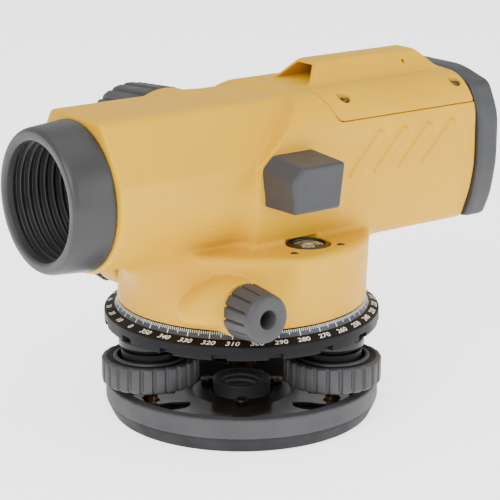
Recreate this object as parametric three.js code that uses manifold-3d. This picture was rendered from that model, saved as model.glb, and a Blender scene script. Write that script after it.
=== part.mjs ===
// Automatic level: a surveyor's telescope with a swinging compensator, on a three-screw levelling base.
// Millimetres. Z is the vertical standing axis, with Z = 0 at the underside of the base plate.
// The line of sight runs along X: the objective is at -X and the eyepiece at +X.
// The focusing knob is on the +Y side, and the bubble and its mirror are on the -Y side.

import * as THREE from 'three';
import { mergeVertices } from 'three/addons/utils/BufferGeometryUtils.js';
import { LoftGeometry } from 'three/addons/geometries/LoftGeometry.js';
import Module from 'manifold-3d';

// ---------------------------------------------------------------- driving dimensions

const gap = 0.3; // between pieces that touch or slide
const wall = 3; // thickness of the casting

const base = { r: 55.2, footR: 52.2, chamferTop: 6.3, top: 14.2, floor: 5.5, innerR: 50.5 };
const boss = { r: 11.6, top: 12 };
const tripodThreadR = 7.94; // 5/8 inch screw
const pocket = { r: 15.5, floor: 3.5 };

const screws = { circleR: 41.5, firstAngle: 173.6 };
const footKnob = { r: 19.24, bottom: 18.2, top: 29.5, ribs: 24, groove: 1.0 };
const ball = { r: 3.6, z: 6.1 };
const spindleR = 4;
const bush = { r: 11.5, bore: 4.8, bottom: 24, top: 37.4, shoulderR: 9.6, shoulderZ: 32 };
const springPlate = {
  bottom: 5.8, thickness: 1, flatR: 20, r: 49, rise: 4.6,
  armHalfWidth: 6, tipR: 7.5, neckR: 3.3, screwR: 16.5,
};

const hub = { r: 16, bottom: 24, boreR: 9.2, armBottom: 33, armTop: 37.4, discR: 30 };
const sleeve = { ringSeatR: 20, ringSeatTop: 42, r: 14, top: 62.4 };
const circle = { r: 55.3, bottom: 37.75, rimTop: 43.4, bandR: 51, bandTop: 45, topR: 49.6, top: 47.5 };
const wheel = { teeth: 60, r: 27.3, boreR: 14.3, bottom: 54, top: 61.8 };

const turret = { r: 50, bottom: 47.8, platform: 75, innerR: 46.5, innerTop: 68 };
const tangent = { x: -31.5, z: 58, wormR: 3.9, shaftR: 3, innerY: 45, outerY: 60, bigR: 10.6, smallR: 8.4 };

const sightZ = 99.7;
const frontX = -76.1; // front face of the casting
const rearX = 94; // rear face of the casting
const hood = {
  frontX: -93.4, mouthR: 22.4, lipR: 27.6, rootR: 29.06,
  spigotR: 25.7, spigotX: -66, ribPitch: 3.5, boreR: 26,
};
const focus = { x: -18, z: 106, knobR: 23.5, bossR: 23.5, bossY: 27.5, knobY: 28, endY: 55, pinionR: 3.6 };
const cover = { frontX: 23.3, seamZ: 120.2, ridgeTop: 139.5, ridgeFrontX: 32.5, ridgeRearX: 84 };
const rearCover = { x: 106, halfWidth: 35.5 };
const eyepiece = { endX: 121.6, tubeR: 11, ringR: 15.5 };
const bubble = { x: 7.4, y: -33.6, r: 8.5 };
const mirror = { x0: -14.5, x1: 9, z0: 93, z1: 111, rootY: -33.9, faceY: -52 };

// ---------------------------------------------------------------- looks

const look = (color, roughness, metalness = 0) =>
  new THREE.MeshStandardMaterial({ color, roughness, metalness });
const looks = {
  casting: look(0xe2c06c, 0.45),
  greyPlastic: look(0x666b70, 0.6),
  knobPlastic: look(0x55595d, 0.65),
  blackPaint: look(0x2c2d2f, 0.5),
  basePaint: look(0x3a3b3e, 0.7),
  circleBlack: look(0x1b1c1e, 0.55),
  brass: look(0xc8965a, 0.35, 1),
  steel: look(0xb8bcc0, 0.3, 1),
  springSteel: look(0x4a3d33, 0.25, 1),
  aluminium: look(0xa9adb2, 0.4, 1),
  glass: look(0x9fb6bf, 0.05),
  mirrorGlass: look(0xdfe5e8, 0.02, 1),
  rubber: look(0x1d1e1f, 0.9),
};

// ---------------------------------------------------------------- solids

const wasm = await Module();
wasm.setup();

const radians = THREE.MathUtils.degToRad;

function toSolid(geometry) {
  const bare = new THREE.BufferGeometry();
  bare.setAttribute('position', geometry.attributes.position);
  bare.setIndex(geometry.index);
  const merged = mergeVertices(bare, 1e-4);
  const index = merged.index.array;
  const triVerts = [];
  for (let i = 0; i < index.length; i += 3) {
    const [a, b, c] = [index[i], index[i + 1], index[i + 2]];
    if (a !== b && b !== c && c !== a) triVerts.push(a, b, c);
  }
  const vertProperties = new Float32Array(merged.attributes.position.array);
  const faces = outward(vertProperties, triVerts);
  return new wasm.Manifold(new wasm.Mesh({ numProp: 3, vertProperties, triVerts: faces }));
}

// Turns every face round if the body is inside out.
function outward(points, triangles) {
  const corner = (i) => new THREE.Vector3(points[3 * i], points[3 * i + 1], points[3 * i + 2]);
  let volume = 0;
  for (let i = 0; i < triangles.length; i += 3) {
    const [a, b, c] = [0, 1, 2].map((k) => corner(triangles[i + k]));
    volume += a.dot(b.cross(c));
  }
  return new Uint32Array(volume < 0 ? triangles.reverse() : triangles);
}

function toGeometry(solid) {
  const mesh = solid.getMesh();
  const geometry = new THREE.BufferGeometry();
  geometry.setAttribute('position', new THREE.BufferAttribute(mesh.vertProperties, 3));
  geometry.setIndex(new THREE.BufferAttribute(mesh.triVerts, 1));
  return geometry;
}

const combine = (method) => (first, ...others) =>
  toGeometry(others.reduce((sum, next) => sum[method](toSolid(next)), toSolid(first)));
const join = combine('add');
const cut = combine('subtract');
const common = combine('intersect');

// Turned about Z from a closed outline of [radius, height] corners.
function turned(outline, segments = 48) {
  const points = outline.map(([r, z]) => new THREE.Vector2(r, z));
  if (outline[0][0] > 0) points.push(points[0].clone());
  return new THREE.LatheGeometry(points, segments).rotateX(Math.PI / 2);
}

const disc = (r, z0, z1, segments = 24, topR = r) =>
  new THREE.CylinderGeometry(topR, r, z1 - z0, segments).rotateX(Math.PI / 2).translate(0, 0, (z0 + z1) / 2);

const tube = (r, boreR, z0, z1, segments = 24) =>
  turned([[boreR, z0], [r, z0], [r, z1], [boreR, z1]], segments);

const block = (x0, x1, y0, y1, z0, z1) =>
  new THREE.BoxGeometry(x1 - x0, y1 - y0, z1 - z0).translate((x0 + x1) / 2, (y0 + y1) / 2, (z0 + z1) / 2);

// A cylinder between two points, along X or along Y.
const rodX = (r, x0, x1, y, z, segments = 24) =>
  disc(r, x0, x1, segments).rotateY(Math.PI / 2).translate(0, y, z);
const rodY = (r, y0, y1, x, z, segments = 24, endR = r) =>
  disc(r, y0, y1, segments, endR).rotateX(-Math.PI / 2).translate(x, 0, z);

const polygon = (points) => new THREE.Shape(points.map(([x, y]) => new THREE.Vector2(x, y)));

const plate = (shape, z0, z1, curveSegments = 10) =>
  new THREE.ExtrudeGeometry(shape, { depth: z1 - z0, bevelEnabled: false, curveSegments })
    .translate(0, 0, z0);

const loft = (sections) => new LoftGeometry(sections, { capStart: true, capEnd: true });

// A round outline as [x, y] points: lands of radius r, with a V groove after each.
function grooved(r, count, depth, landShare = 0.7) {
  const points = [];
  for (let i = 0; i < count; i += 1) {
    const steps = [[0, r], [landShare, r], [(1 + landShare) / 2, r - depth]];
    for (const [share, radius] of steps) {
      const angle = (2 * Math.PI * (i + share)) / count;
      points.push([radius * Math.cos(angle), radius * Math.sin(angle)]);
    }
  }
  return points;
}

// A grooved grip whose radius changes along Z: stops are [z, radius, groove depth].
const groovedGrip = (count, stops, landShare) =>
  loft(stops.map(([z, r, depth]) =>
    grooved(r, count, depth, landShare).map(([x, y]) => new THREE.Vector3(x, y, z))));

// ---------------------------------------------------------------- scene graph

const level = new THREE.Group();

function part(name, geometry, material, group = level) {
  const mesh = new THREE.Mesh(geometry, material.clone());
  mesh.name = name;
  group.add(mesh);
  return mesh;
}

function groupAt(x, y, z, rotation = {}, parent = level) {
  const group = new THREE.Group();
  group.position.set(x, y, z);
  group.rotation.set(rotation.x ?? 0, rotation.y ?? 0, rotation.z ?? 0);
  parent.add(group);
  return group;
}

// Inside these groups, local Z runs along the line of sight, or along a shaft that crosses it.
const opticalAxis = groupAt(0, 0, sightZ, { y: Math.PI / 2 });
const focusAxis = groupAt(focus.x, 0, focus.z, { x: -Math.PI / 2 });
const tangentAxis = groupAt(tangent.x, 0, tangent.z, { x: -Math.PI / 2 });

const screwAngles = [0, 1, 2].map((i) => radians(screws.firstAngle + 120 * i));
const screwPlaces = screwAngles.map((a) => [screws.circleR * Math.cos(a), screws.circleR * Math.sin(a)]);
const atScrews = (geometry) => screwPlaces.map(([x, y]) => geometry.clone().translate(x, y, 0));

// ---------------------------------------------------------------- base plate and its spring plate

function basePlate() {
  const dish = turned([
    [tripodThreadR, 0], [base.footR, 0], [base.r, base.chamferTop], [base.r, base.top - 0.8],
    [base.r - 0.8, base.top], [base.innerR + 0.8, base.top], [base.innerR, base.floor],
    [boss.r, base.floor], [boss.r, boss.top], [tripodThreadR, boss.top],
  ], 48);
  const inside = disc(base.innerR - 0.4, 0, base.top + 1, 48);
  const pockets = atScrews(disc(pocket.r, pocket.floor, base.top + 1, 20)).map((p) => common(p, inside));
  const seats = atScrews(new THREE.SphereGeometry(ball.r + gap, 12, 8).translate(0, 0, ball.z));
  return cut(dish, ...pockets, ...seats);
}

// The leaf spring holds the three foot-screw balls down in their seats. It is flat where it is
// screwed to the floor, and rises as a shallow cone to the necks of the foot screws.
function springPlateShape() {
  const { bottom, thickness, flatR, r, rise, armHalfWidth, tipR, neckR } = springPlate;
  const top = bottom + thickness;
  const hole = boss.r + 2 * gap;
  const dished = turned([
    [hole, bottom], [flatR, bottom], [r, bottom + rise], [r, top + rise], [flatR, top], [hole, top],
  ], 36);
  const height = 20;
  const openings = atScrews(disc(pocket.r, 0, height, 20));
  const arm = block(flatR, screws.circleR, -armHalfWidth, armHalfWidth, 0, height);
  const arms = screwAngles.map((a) => arm.clone().rotateZ(a));
  const tips = atScrews(disc(tipR, 0, height, 14));
  const plan = join(cut(disc(r, 0, height, 36), ...openings), ...arms, ...tips);
  return cut(common(dished, plan), ...atScrews(disc(neckR, 0, height, 10)));
}

part('base_plate', basePlate(), looks.basePaint);
part('spring_plate', springPlateShape(), looks.springSteel);
screwAngles.forEach((angle, i) => {
  const screw = groupAt(0, 0, springPlate.bottom + springPlate.thickness + gap, { z: angle + Math.PI / 3 });
  const head = turned([[0, 0], [2.6, 0], [2.6, 1], [1.9, 1.6], [0, 1.6]], 10);
  part(`spring_plate_screw_${i + 1}`, head.translate(springPlate.screwR, 0, 0), looks.steel, screw);
});

// ---------------------------------------------------------------- foot screws

const footKnobGeometry = cut(
  groovedGrip(footKnob.ribs, [
    [footKnob.bottom, footKnob.r, footKnob.groove], [footKnob.top, footKnob.r, footKnob.groove],
  ]),
  disc(bush.r + 1.3, footKnob.bottom + 1.6, footKnob.top + 1, 20),
  disc(spindleR + gap, 0, footKnob.top, 12),
);
const footSpindleGeometry = join(
  new THREE.SphereGeometry(ball.r, 12, 8).translate(0, 0, ball.z),
  disc(2.7, ball.z, 13, 12),
  disc(spindleR, 12, 34.2, 12),
);
const bushGeometry = turned([
  [bush.bore, bush.bottom], [bush.r, bush.bottom], [bush.r, bush.shoulderZ],
  [bush.shoulderR, bush.shoulderZ], [bush.shoulderR, bush.top - gap], [bush.bore, bush.top - gap],
], 20);

screwPlaces.forEach(([x, y], i) => {
  const letter = 'abc'[i];
  const place = groupAt(x, y, 0, { z: screwAngles[i] });
  part(`foot_screw_knob_${letter}`, footKnobGeometry.clone(), looks.knobPlastic, place);
  part(`foot_screw_spindle_${letter}`, footSpindleGeometry.clone(), looks.brass, place);
  part(`foot_screw_bush_${letter}`, bushGeometry.clone(), looks.blackPaint, place);
});

// ---------------------------------------------------------------- tribrach, circle and fine-motion wheel

function tribrachBody() {
  const core = turned([
    [0, hub.bottom], [hub.r, hub.bottom], [hub.r, hub.armBottom - 3], [hub.r + 6, hub.armBottom],
    [hub.discR, hub.armBottom + 1], [hub.discR, hub.armTop], [sleeve.ringSeatR, hub.armTop],
    [sleeve.ringSeatR, sleeve.ringSeatTop], [sleeve.r, sleeve.ringSeatTop],
    [sleeve.r, sleeve.top], [0, sleeve.top],
  ], 30);
  const arm = block(hub.r, screws.circleR, -10, 10, hub.armBottom, hub.armTop);
  const arms = screwAngles.map((a) => arm.clone().rotateZ(a));
  const ends = atScrews(disc(12.5, hub.armBottom, hub.armTop, 18));
  const spindleBore = disc(hub.boreR + gap, hub.bottom + 3, 80, 24);
  const lowerHole = disc(4, 0, 40, 12);
  const bushSeats = atScrews(disc(bush.shoulderR + gap, 0, 50, 20));
  return cut(join(core, ...arms, ...ends), spindleBore, lowerHole, ...bushSeats);
}

// A flat ring with a sloping number band and a steeper graduated band, and finger notches below the rim.
function circleRing() {
  const { r, bottom, rimTop, bandR, bandTop, topR, top } = circle;
  const ring = turned([
    [sleeve.ringSeatR + gap, bottom], [r - 2, bottom], [r, bottom + 1], [r, rimTop - 0.5], [r - 0.5, rimTop],
    [bandR, bandTop], [topR, top], [topR - 3, top], [topR - 4, 41.5], [sleeve.ringSeatR + gap, 41.5],
  ], 48);
  const notch = block(r - 1.2, r + 2, -2.6, 2.6, bottom - 1, bottom + 2.2);
  const notches = [...Array(16).keys()].map((i) => notch.clone().rotateZ(radians(22.5 * i)));
  return cut(ring, ...notches);
}

function wormWheel() {
  const outline = [];
  for (let i = 0; i < 2 * wheel.teeth; i += 1) {
    const r = wheel.r - (i % 2) * 1.2;
    const angle = (Math.PI * i) / wheel.teeth;
    outline.push([r * Math.cos(angle), r * Math.sin(angle)]);
  }
  return cut(plate(polygon(outline), wheel.bottom, wheel.top), disc(wheel.boreR, 0, 80, 24));
}

part('tribrach_body', tribrachBody(), looks.blackPaint);
part('circle_ring', circleRing(), looks.circleBlack);
part('worm_wheel', wormWheel(), looks.brass);
part('vertical_spindle', turned([
  [0, hub.bottom + 3.4], [8.2, hub.bottom + 3.4], [9.1, hub.bottom + 5], [9.1, sleeve.top + gap],
  [17, sleeve.top + gap], [17, turret.innerTop - gap], [0, turret.innerTop - gap],
], 24), looks.steel);

// ---------------------------------------------------------------- fine-motion (tangent) screw

const tangentGrip = cut(
  groovedGrip(13, [
    [tangent.innerY, tangent.bigR, 0.9], [58.2, tangent.smallR, 0.5],
    [tangent.outerY, tangent.smallR - 1.8, 0.2],
  ], 0.66),
  disc(3.6, 52, 62, 14),
  disc(tangent.shaftR + gap, 40, 50.5, 12),
);
part('tangent_shaft', join(
  disc(tangent.shaftR, -50, 50, 12),
  disc(tangent.wormR, -9, 9, 16),
), looks.steel, tangentAxis);
part('tangent_knob_far', tangentGrip.clone(), looks.knobPlastic, tangentAxis);
part('tangent_knob_near', tangentGrip.clone().rotateX(Math.PI), looks.knobPlastic, tangentAxis);
for (const [side, name] of [[1, 'far'], [-1, 'near']]) {
  const geometry = tube(4.7, tangent.shaftR + gap, 36, 44, 16);
  part(`tangent_bush_${name}`, side > 0 ? geometry : geometry.rotateX(Math.PI), looks.brass, tangentAxis);
}

// ---------------------------------------------------------------- casting

// Half outlines as [half width, height], from the top to the bottom.
const tubeHalf = [[17.5, 130], [31.2, 108]];
for (let angle = 0; angle < 90; angle += 12) {
  tubeHalf.push([31.4 * Math.cos(radians(angle)), 100.5 - 30.7 * Math.sin(radians(angle))]);
}
const bodyHalf = [
  [17, 131.4], [26.5, 127], [32.7, 120], [33.6, 112], [33.6, 96],
  [32.8, 88], [31.2, 83], [26.8, 71.8], [24.5, 70],
];
const cavityHalf = [[16, 127.5], [24, 124], [29, 118], [30, 112], [30, 92], [27, 82], [21, 73.5]];
const underCoverHalf = [[16, 128], [24, 124.5], [29.5, 118], [10, 110]];

// A closed section across X from a half outline; each point's X may depend on its height.
function section(half, xAt) {
  const whole = [...half.map(([y, z]) => [-y, z]), ...half.toReversed()];
  return whole.map(([y, z]) => new THREE.Vector3(typeof xAt === 'function' ? xAt(z) : xAt, y, z));
}

const shrunk = (half, by, centre = sightZ) =>
  half.map(([y, z]) => [y * (1 - by / 33), centre + (z - centre) * (1 - by / 31)]);

// The rear body swells out of the front tube along a crease that leans back as it rises.
const crease = (z) => -15 + 1.09 * Math.max(0, z - 108.6);

function rearBody(by = 0) {
  const full = shrunk(bodyHalf, by);
  const root = shrunk(bodyHalf, by + 2.6);
  return loft([section(root, (z) => crease(z)), section(full, (z) => crease(z) + 4), section(full, rearX)]);
}

// The turret's plan changes from the round seat over the circle to the platform's outline.
const platformRadius = [[0, 51], [60, 51], [100, 51], [118, 46], [140, 44], [160, 49], [180, 53]];
function radiusAt(angle) {
  const a = Math.abs(angle);
  const next = platformRadius.findIndex(([stop]) => stop >= a);
  if (next < 1) return platformRadius[0][1];
  const [a0, r0] = platformRadius[next - 1];
  const [a1, r1] = platformRadius[next];
  const t = THREE.MathUtils.smoothstep(a, a0, a1);
  return r0 + (r1 - r0) * t;
}
function turretSection(z, share) {
  const points = [];
  for (let a = -180; a < 180; a += 7.5) {
    const r = turret.r + (radiusAt(a) - turret.r) * share;
    points.push(new THREE.Vector3(r * Math.cos(radians(a)), r * Math.sin(radians(a)), z));
  }
  return points;
}
const turretOuter = loft([
  turretSection(turret.bottom, 0), turretSection(56, 0.1),
  turretSection(66, 0.55), turretSection(turret.platform, 1),
]);

const frontTube = loft([section(tubeHalf, frontX), section(tubeHalf, 10)]);
const tubeBore = rodX(25, -50, 12, 0, sightZ, 28);
const rearCavity = loft([section(cavityHalf, 10), section(cavityHalf, rearX + 5)]);

const levelScrewPlaces = [[-5.2, -41.2], [16.8, -42]];

function mainHousing() {
  const knobBoss = rodY(focus.bossR, 15, focus.bossY, focus.x, focus.z, 30);
  const aboveCircle = block(-80, 0, -60, 60, turret.bottom, turret.platform);
  const blister = disc(17, 28, tangent.innerY - 0.5, 24, 12).rotateX(-Math.PI / 2);
  const blisters = [0, Math.PI].map((turn) =>
    common(blister.clone().rotateX(turn).translate(tangent.x, 0, tangent.z), aboveCircle));
  const outer = join(frontTube, rearBody(), turretOuter, knobBoss, ...blisters);
  const underCover = block(cover.frontX - gap, 120, -60, 60, cover.seamZ - gap, 160);
  return cut(
    outer,
    rodX(hood.boreR, frontX - 5, -49, 0, sightZ, 30),
    tubeBore,
    rearCavity,
    disc(turret.innerR, 40, turret.innerTop, 40),
    underCover,
    rodY(5, 10, 40, focus.x, focus.z),
    rodY(focus.knobR + 1.2, focus.bossY, 60, focus.x, focus.z, 30),
    rodY(5, -60, 60, tangent.x, tangent.z),
    disc(bubble.r + gap, 60, 78, 20).translate(bubble.x, bubble.y, 0),
    ...levelScrewPlaces.map(([x, y]) => disc(1.7, 60, 78, 10).translate(x, y, 0)),
  );
}

const ridge = loft([
  [[23.5, 14], [93.2, 14]], [[27.5, 11], [90, 11]], [[cover.ridgeFrontX, 6], [cover.ridgeRearX, 6]],
].map(([[x0, y], [x1]], i) => {
  const z = [127, 133, cover.ridgeTop][i];
  return [[x0, -y], [x1, -y], [x1, y], [x0, y]].map(([px, py]) => new THREE.Vector3(px, py, z));
}));

// The top cover closes the casting over the compensator, and its ridge is the open gun sight.
function topCover() {
  const zone = block(cover.frontX, rearX - gap, -40, 40, cover.seamZ, 160);
  const shell = common(join(rearBody(), ridge), zone);
  const inside = loft([section(underCoverHalf, cover.frontX + 4), section(underCoverHalf, rearX + 1)]);
  const sightTunnel = loft([[131.8, 9], [137.7, 5.2]].map(([z, y]) =>
    [[0, -y], [120, -y], [120, y], [0, y]].map(([px, py]) => new THREE.Vector3(px, py, z))));
  const screwWells = [[31, 25], [89, 25]].flatMap(([x, y]) =>
    [y, -y].map((side) => disc(2.3, 126, 140, 12).translate(x, side, 0)));
  return cut(shell, inside, sightTunnel, ...screwWells);
}

part('main_housing', mainHousing(), looks.casting);
part('top_cover', topCover(), looks.casting);

// ---------------------------------------------------------------- telescope

// The objective hood screws into the casting; annular ribs inside it stop stray light.
function objectiveHood() {
  const { frontX: mouthX, mouthR, lipR, rootR, spigotR, spigotX } = hood;
  const outline = [[mouthR, mouthX], [lipR - 1.6, mouthX], [lipR, mouthX + 1.6], [rootR, frontX - gap],
    [spigotR, frontX - gap], [spigotR, spigotX], [mouthR, spigotX]];
  for (let x = spigotX - hood.ribPitch / 2; x > mouthX + hood.ribPitch; x -= hood.ribPitch) {
    outline.push([mouthR + 1.4, x], [mouthR, x - hood.ribPitch / 2]);
  }
  return turned(outline, 30);
}

// A lens bounded by two spherical faces; a negative sag is hollow.
function lens(r, x0, x1, frontSag, rearSag) {
  const face = (x, sag) => [0, 0.5, 1].map((share) => [r * share, x + sag * (1 - share * share)]);
  return turned([...face(x0, -frontSag), ...face(x1, rearSag).reverse()], 20);
}

part('objective_hood', objectiveHood(), looks.greyPlastic, opticalAxis);
part('objective_cell', turned([
  [19, -65], [25.6, -65], [25.6, -50], [20.4, -50], [20.4, -52.3], [21.3, -52.3], [21.3, -62], [19, -62],
], 24), looks.blackPaint, opticalAxis);
part('objective_lens_front', lens(21, -61, -57.6, 0.7, 0), looks.glass, opticalAxis);
part('objective_lens_rear', lens(21, -57.2, -54, 0, -0.6), looks.glass, opticalAxis);

const guide = { r: 16, boreR: 14.3, x0: -44, x1: 4 };
const rackTop = focus.z - focus.pinionR - 0.2;
function focusGuide() {
  const rackSlot = block(guide.x0 - 1, guide.x1 + 1, 8, 20, 97.5 - sightZ, 12);
  const sleeveTube = tube(guide.r, guide.boreR, guide.x0, guide.x1, 36).rotateY(Math.PI / 2);
  const foot = block(guide.x0 + 2, guide.x1 - 2, -5, 5, -24.1, -guide.r + 0.5);
  return cut(join(sleeveTube, foot), rackSlot).translate(0, 0, sightZ);
}
function focusCarriage() {
  const barrel = tube(13.9, 11.4, -32, -6, 36).rotateY(Math.PI / 2).translate(0, 0, sightZ);
  const rack = block(-33, -3, 12.2, 19, 98.2, rackTop);
  return join(barrel, rack);
}
part('focus_guide_tube', focusGuide(), looks.aluminium);
part('focus_carriage', focusCarriage(), looks.brass);
part('focus_lens', lens(11.1, -24, -21.5, -0.5, -0.5), looks.glass, opticalAxis);

// ---------------------------------------------------------------- focusing knob

const focusGrip = cut(
  groovedGrip(24, [
    [focus.knobY, focus.knobR, 1], [53, 21.8, 1], [focus.endY, 20, 0.2],
  ], 0.6),
  disc(2.5 + gap, 20, 49, 12),
);
part('focus_knob', focusGrip, looks.knobPlastic, focusAxis);
const pinion = disc(focus.pinionR, 14.2, 19.2, 18);
part('focus_shaft', join(disc(2.5, 14.2, 48.6, 16), pinion), looks.steel, focusAxis);
part('focus_bush', tube(4.7, 2.5 + gap, 19.5, 27, 16), looks.brass, focusAxis);

// ---------------------------------------------------------------- compensator

const comp = { x0: 16, x1: 50, halfWidth: 21, top: 119.6, bottom: 77, tapeTop: 117.2 };
function compensatorFrame() {
  const outer = block(comp.x0, comp.x1, -comp.halfWidth, comp.halfWidth, comp.bottom, comp.top);
  const innerHalf = comp.halfWidth - wall;
  const room = block(comp.x0 - 1, comp.x1 - wall, -innerHalf, innerHalf, comp.bottom + wall, comp.top + 1);
  const light = rodX(11, 0, 60, 0, sightZ, 28);
  const foot = block(comp.x0 + 4, comp.x1 - 4, -9, 9, 74, comp.bottom + 1);
  const tapeClamp = block(29, 37, 1 - comp.halfWidth, comp.halfWidth - 1, comp.tapeTop, comp.top);
  return join(cut(join(outer, foot), room, light), tapeClamp);
}
function pendulum() {
  const plateBody = block(26, 40, -13, 13, 86, 90);
  const arms = [-1, 1].map((side) => block(30, 36, side * 12 - 1.6, side * 12 + 1.6, 88, 108));
  const vane = block(31, 35, -3, 3, 83, 87);
  return join(plateBody, ...arms, vane);
}
function wedgePrism(x0, x1, halfWidth, z0, z1) {
  const corners = [[x0, z0], [x1, z0], [(x0 + x1) / 2, z1]];
  const side = new THREE.Shape(corners.map(([x, z]) => new THREE.Vector2(x, z)));
  return plate(side, -halfWidth, halfWidth).rotateX(Math.PI / 2);
}
part('compensator_frame', compensatorFrame(), looks.aluminium);
part('compensator_pendulum', pendulum(), looks.brass);
part('pendulum_prism', wedgePrism(27, 39, 9, 90.3, 103), looks.glass);
for (const [side, name] of [[1, 'far'], [-1, 'near']]) {
  const y = side * 12;
  const tape = block(32.5, 33.5, y - 1.2, y + 1.2, 108.3, comp.tapeTop - gap);
  part(`suspension_tape_${name}`, tape, looks.steel);
}
const magnetSlot = block(29.6, 36.4, -9, 9, 82.2, 90);
part('damping_magnet', cut(block(28, 38, -8, 8, 80.3, 85.7), magnetSlot), looks.steel);
part('fixed_prism', wedgePrism(53, 69, 10, 88, 110), looks.glass);

// ---------------------------------------------------------------- reticle and eyepiece

part('reticle_cell', tube(26, 9.6, 78, 83), looks.blackPaint, opticalAxis);
part('reticle_glass', disc(9.3, 79.5, 81.5, 28), looks.glass, opticalAxis);

function rearCap() {
  const outerHalf = bodyHalf.map(([y, z]) => [y * (rearCover.halfWidth / 33.6), z + (z > 100 ? 0.5 : 0)]);
  const inset = (by) => shrunk(outerHalf, by);
  const shell = loft([
    section(inset(0.4), rearX + gap), section(outerHalf, rearX + 3), section(outerHalf, rearCover.x - 3),
    section(inset(1), rearCover.x - 1), section(inset(3), rearCover.x),
  ]);
  const inside = loft([section(inset(4), rearX - 1), section(inset(5), rearCover.x - wall)]);
  return cut(shell, inside, rodX(eyepiece.tubeR + 2.3, 80, 130, 0, sightZ, 32));
}
part('rear_cover', rearCap(), looks.greyPlastic);
part('eyepiece_mount', turned([
  [eyepiece.tubeR + gap, 86], [15, 86], [15, 101], [13, 101], [13, 107.2], [eyepiece.tubeR + gap, 107.2],
], 24), looks.blackPaint, opticalAxis);
part('eyepiece_tube', tube(eyepiece.tubeR, 8.3, 89, 118.2), looks.blackPaint, opticalAxis);
part('eyepiece_lens', lens(8, 112, 115.5, 0.5, 0.5), looks.glass, opticalAxis);
part('diopter_ring', cut(
  groovedGrip(18, [[108.6, eyepiece.ringR, 0.7], [114.2, eyepiece.ringR, 0.7]], 0.6),
  disc(eyepiece.tubeR + gap, 100, 120, 24),
), looks.knobPlastic, opticalAxis);
part('eye_cup', turned([
  [eyepiece.tubeR + gap, 114.6], [13.4, 114.6], [13.4, 119.4], [12, eyepiece.endX], [9, eyepiece.endX],
  [9, 118.6], [eyepiece.tubeR + gap, 118.6],
], 24), looks.rubber, opticalAxis);

// ---------------------------------------------------------------- circular level and its mirror

const bubbleAxis = groupAt(bubble.x, bubble.y, 0);
part('level_vial_housing', turned([
  [0, 67], [bubble.r - 0.3, 67], [bubble.r - 0.3, 74.2], [6.6, 74.2], [6.6, 69], [0, 69],
], 20), looks.blackPaint, bubbleAxis);
const vial = turned([[0, 69.3], [6.3, 69.3], [6.3, 73.4], [3.4, 74], [0, 74.2]], 20);
part('level_vial', vial, looks.glass, bubbleAxis);
levelScrewPlaces.forEach(([x, y], i) => {
  const screw = turned([[0, 68.5], [1.4, 68.5], [1.4, 74], [0, 74]], 10);
  part(`level_adjusting_screw_${i + 1}`, screw, looks.steel, groupAt(x, y, 0));
});

// The hood over the mirror is open to the rear and below, so that the bubble is seen from the eyepiece.
function mirrorHood() {
  const { x0, x1, z0, z1, rootY, faceY } = mirror;
  const side = new THREE.Shape([[x0, z0], [x1, z0], [x1, z1], [x0 + 5.5, z1], [x0, z1 - 4]]
    .map(([x, z]) => new THREE.Vector2(x, z)));
  const solid = new THREE.ExtrudeGeometry(side, { depth: rootY - faceY, bevelEnabled: false })
    .rotateX(Math.PI / 2).translate(0, rootY, 0);
  const room = block(x0 + 4, x1 + 5, faceY + 2.5, rootY - 2.5, z0 - 5, z1 - 3);
  return cut(solid, room);
}
part('mirror_housing', mirrorHood(), looks.greyPlastic);
const mirrorPlate = block(-9, 9, mirror.faceY + 3, mirror.rootY - 3, -0.75, 0.75);
part('bubble_mirror', mirrorPlate.rotateY(radians(-40)).translate(0.5, 0, 100), looks.mirrorGlass);

// ---------------------------------------------------------------- cover screws

[[31, 25], [89, 25], [31, -25], [89, -25]].forEach(([x, y], i) => {
  part(`cover_screw_${i + 1}`, disc(2, 126.3, 127.8, 12).translate(x, y, 0), looks.steel);
});

level.updateMatrixWorld(true);
export default level;
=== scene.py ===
# Automatic level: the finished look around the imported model. Millimetres in the shape functions,
# metres in Blender.

import math

import bmesh
import bpy
import numpy as np
import openvdb
from mathutils import Matrix, Vector


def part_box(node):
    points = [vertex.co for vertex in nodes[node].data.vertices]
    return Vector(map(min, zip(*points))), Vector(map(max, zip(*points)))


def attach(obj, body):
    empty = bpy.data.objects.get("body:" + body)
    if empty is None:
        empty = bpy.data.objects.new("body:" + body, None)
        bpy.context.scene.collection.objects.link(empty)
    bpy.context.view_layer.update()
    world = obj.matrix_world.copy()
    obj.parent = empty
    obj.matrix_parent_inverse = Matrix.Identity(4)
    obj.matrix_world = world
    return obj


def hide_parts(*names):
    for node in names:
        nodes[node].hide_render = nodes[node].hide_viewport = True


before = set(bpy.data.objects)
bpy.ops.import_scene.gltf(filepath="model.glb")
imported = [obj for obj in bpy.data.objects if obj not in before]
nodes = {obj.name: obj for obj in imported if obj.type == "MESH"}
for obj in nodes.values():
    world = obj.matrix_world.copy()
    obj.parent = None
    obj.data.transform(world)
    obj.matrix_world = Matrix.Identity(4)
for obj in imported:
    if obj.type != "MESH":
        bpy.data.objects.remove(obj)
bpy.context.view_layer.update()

MM = 0.001
PITCH = 0.55
FACE_BUDGET = 190000


# -------------------- where things are, from the frame

def low_high(node):
    """A node's box in millimetres."""
    lo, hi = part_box(node)
    return lo / MM, hi / MM


def centre_of(node):
    lo, hi = low_high(node)
    return (lo + hi) / 2


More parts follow.
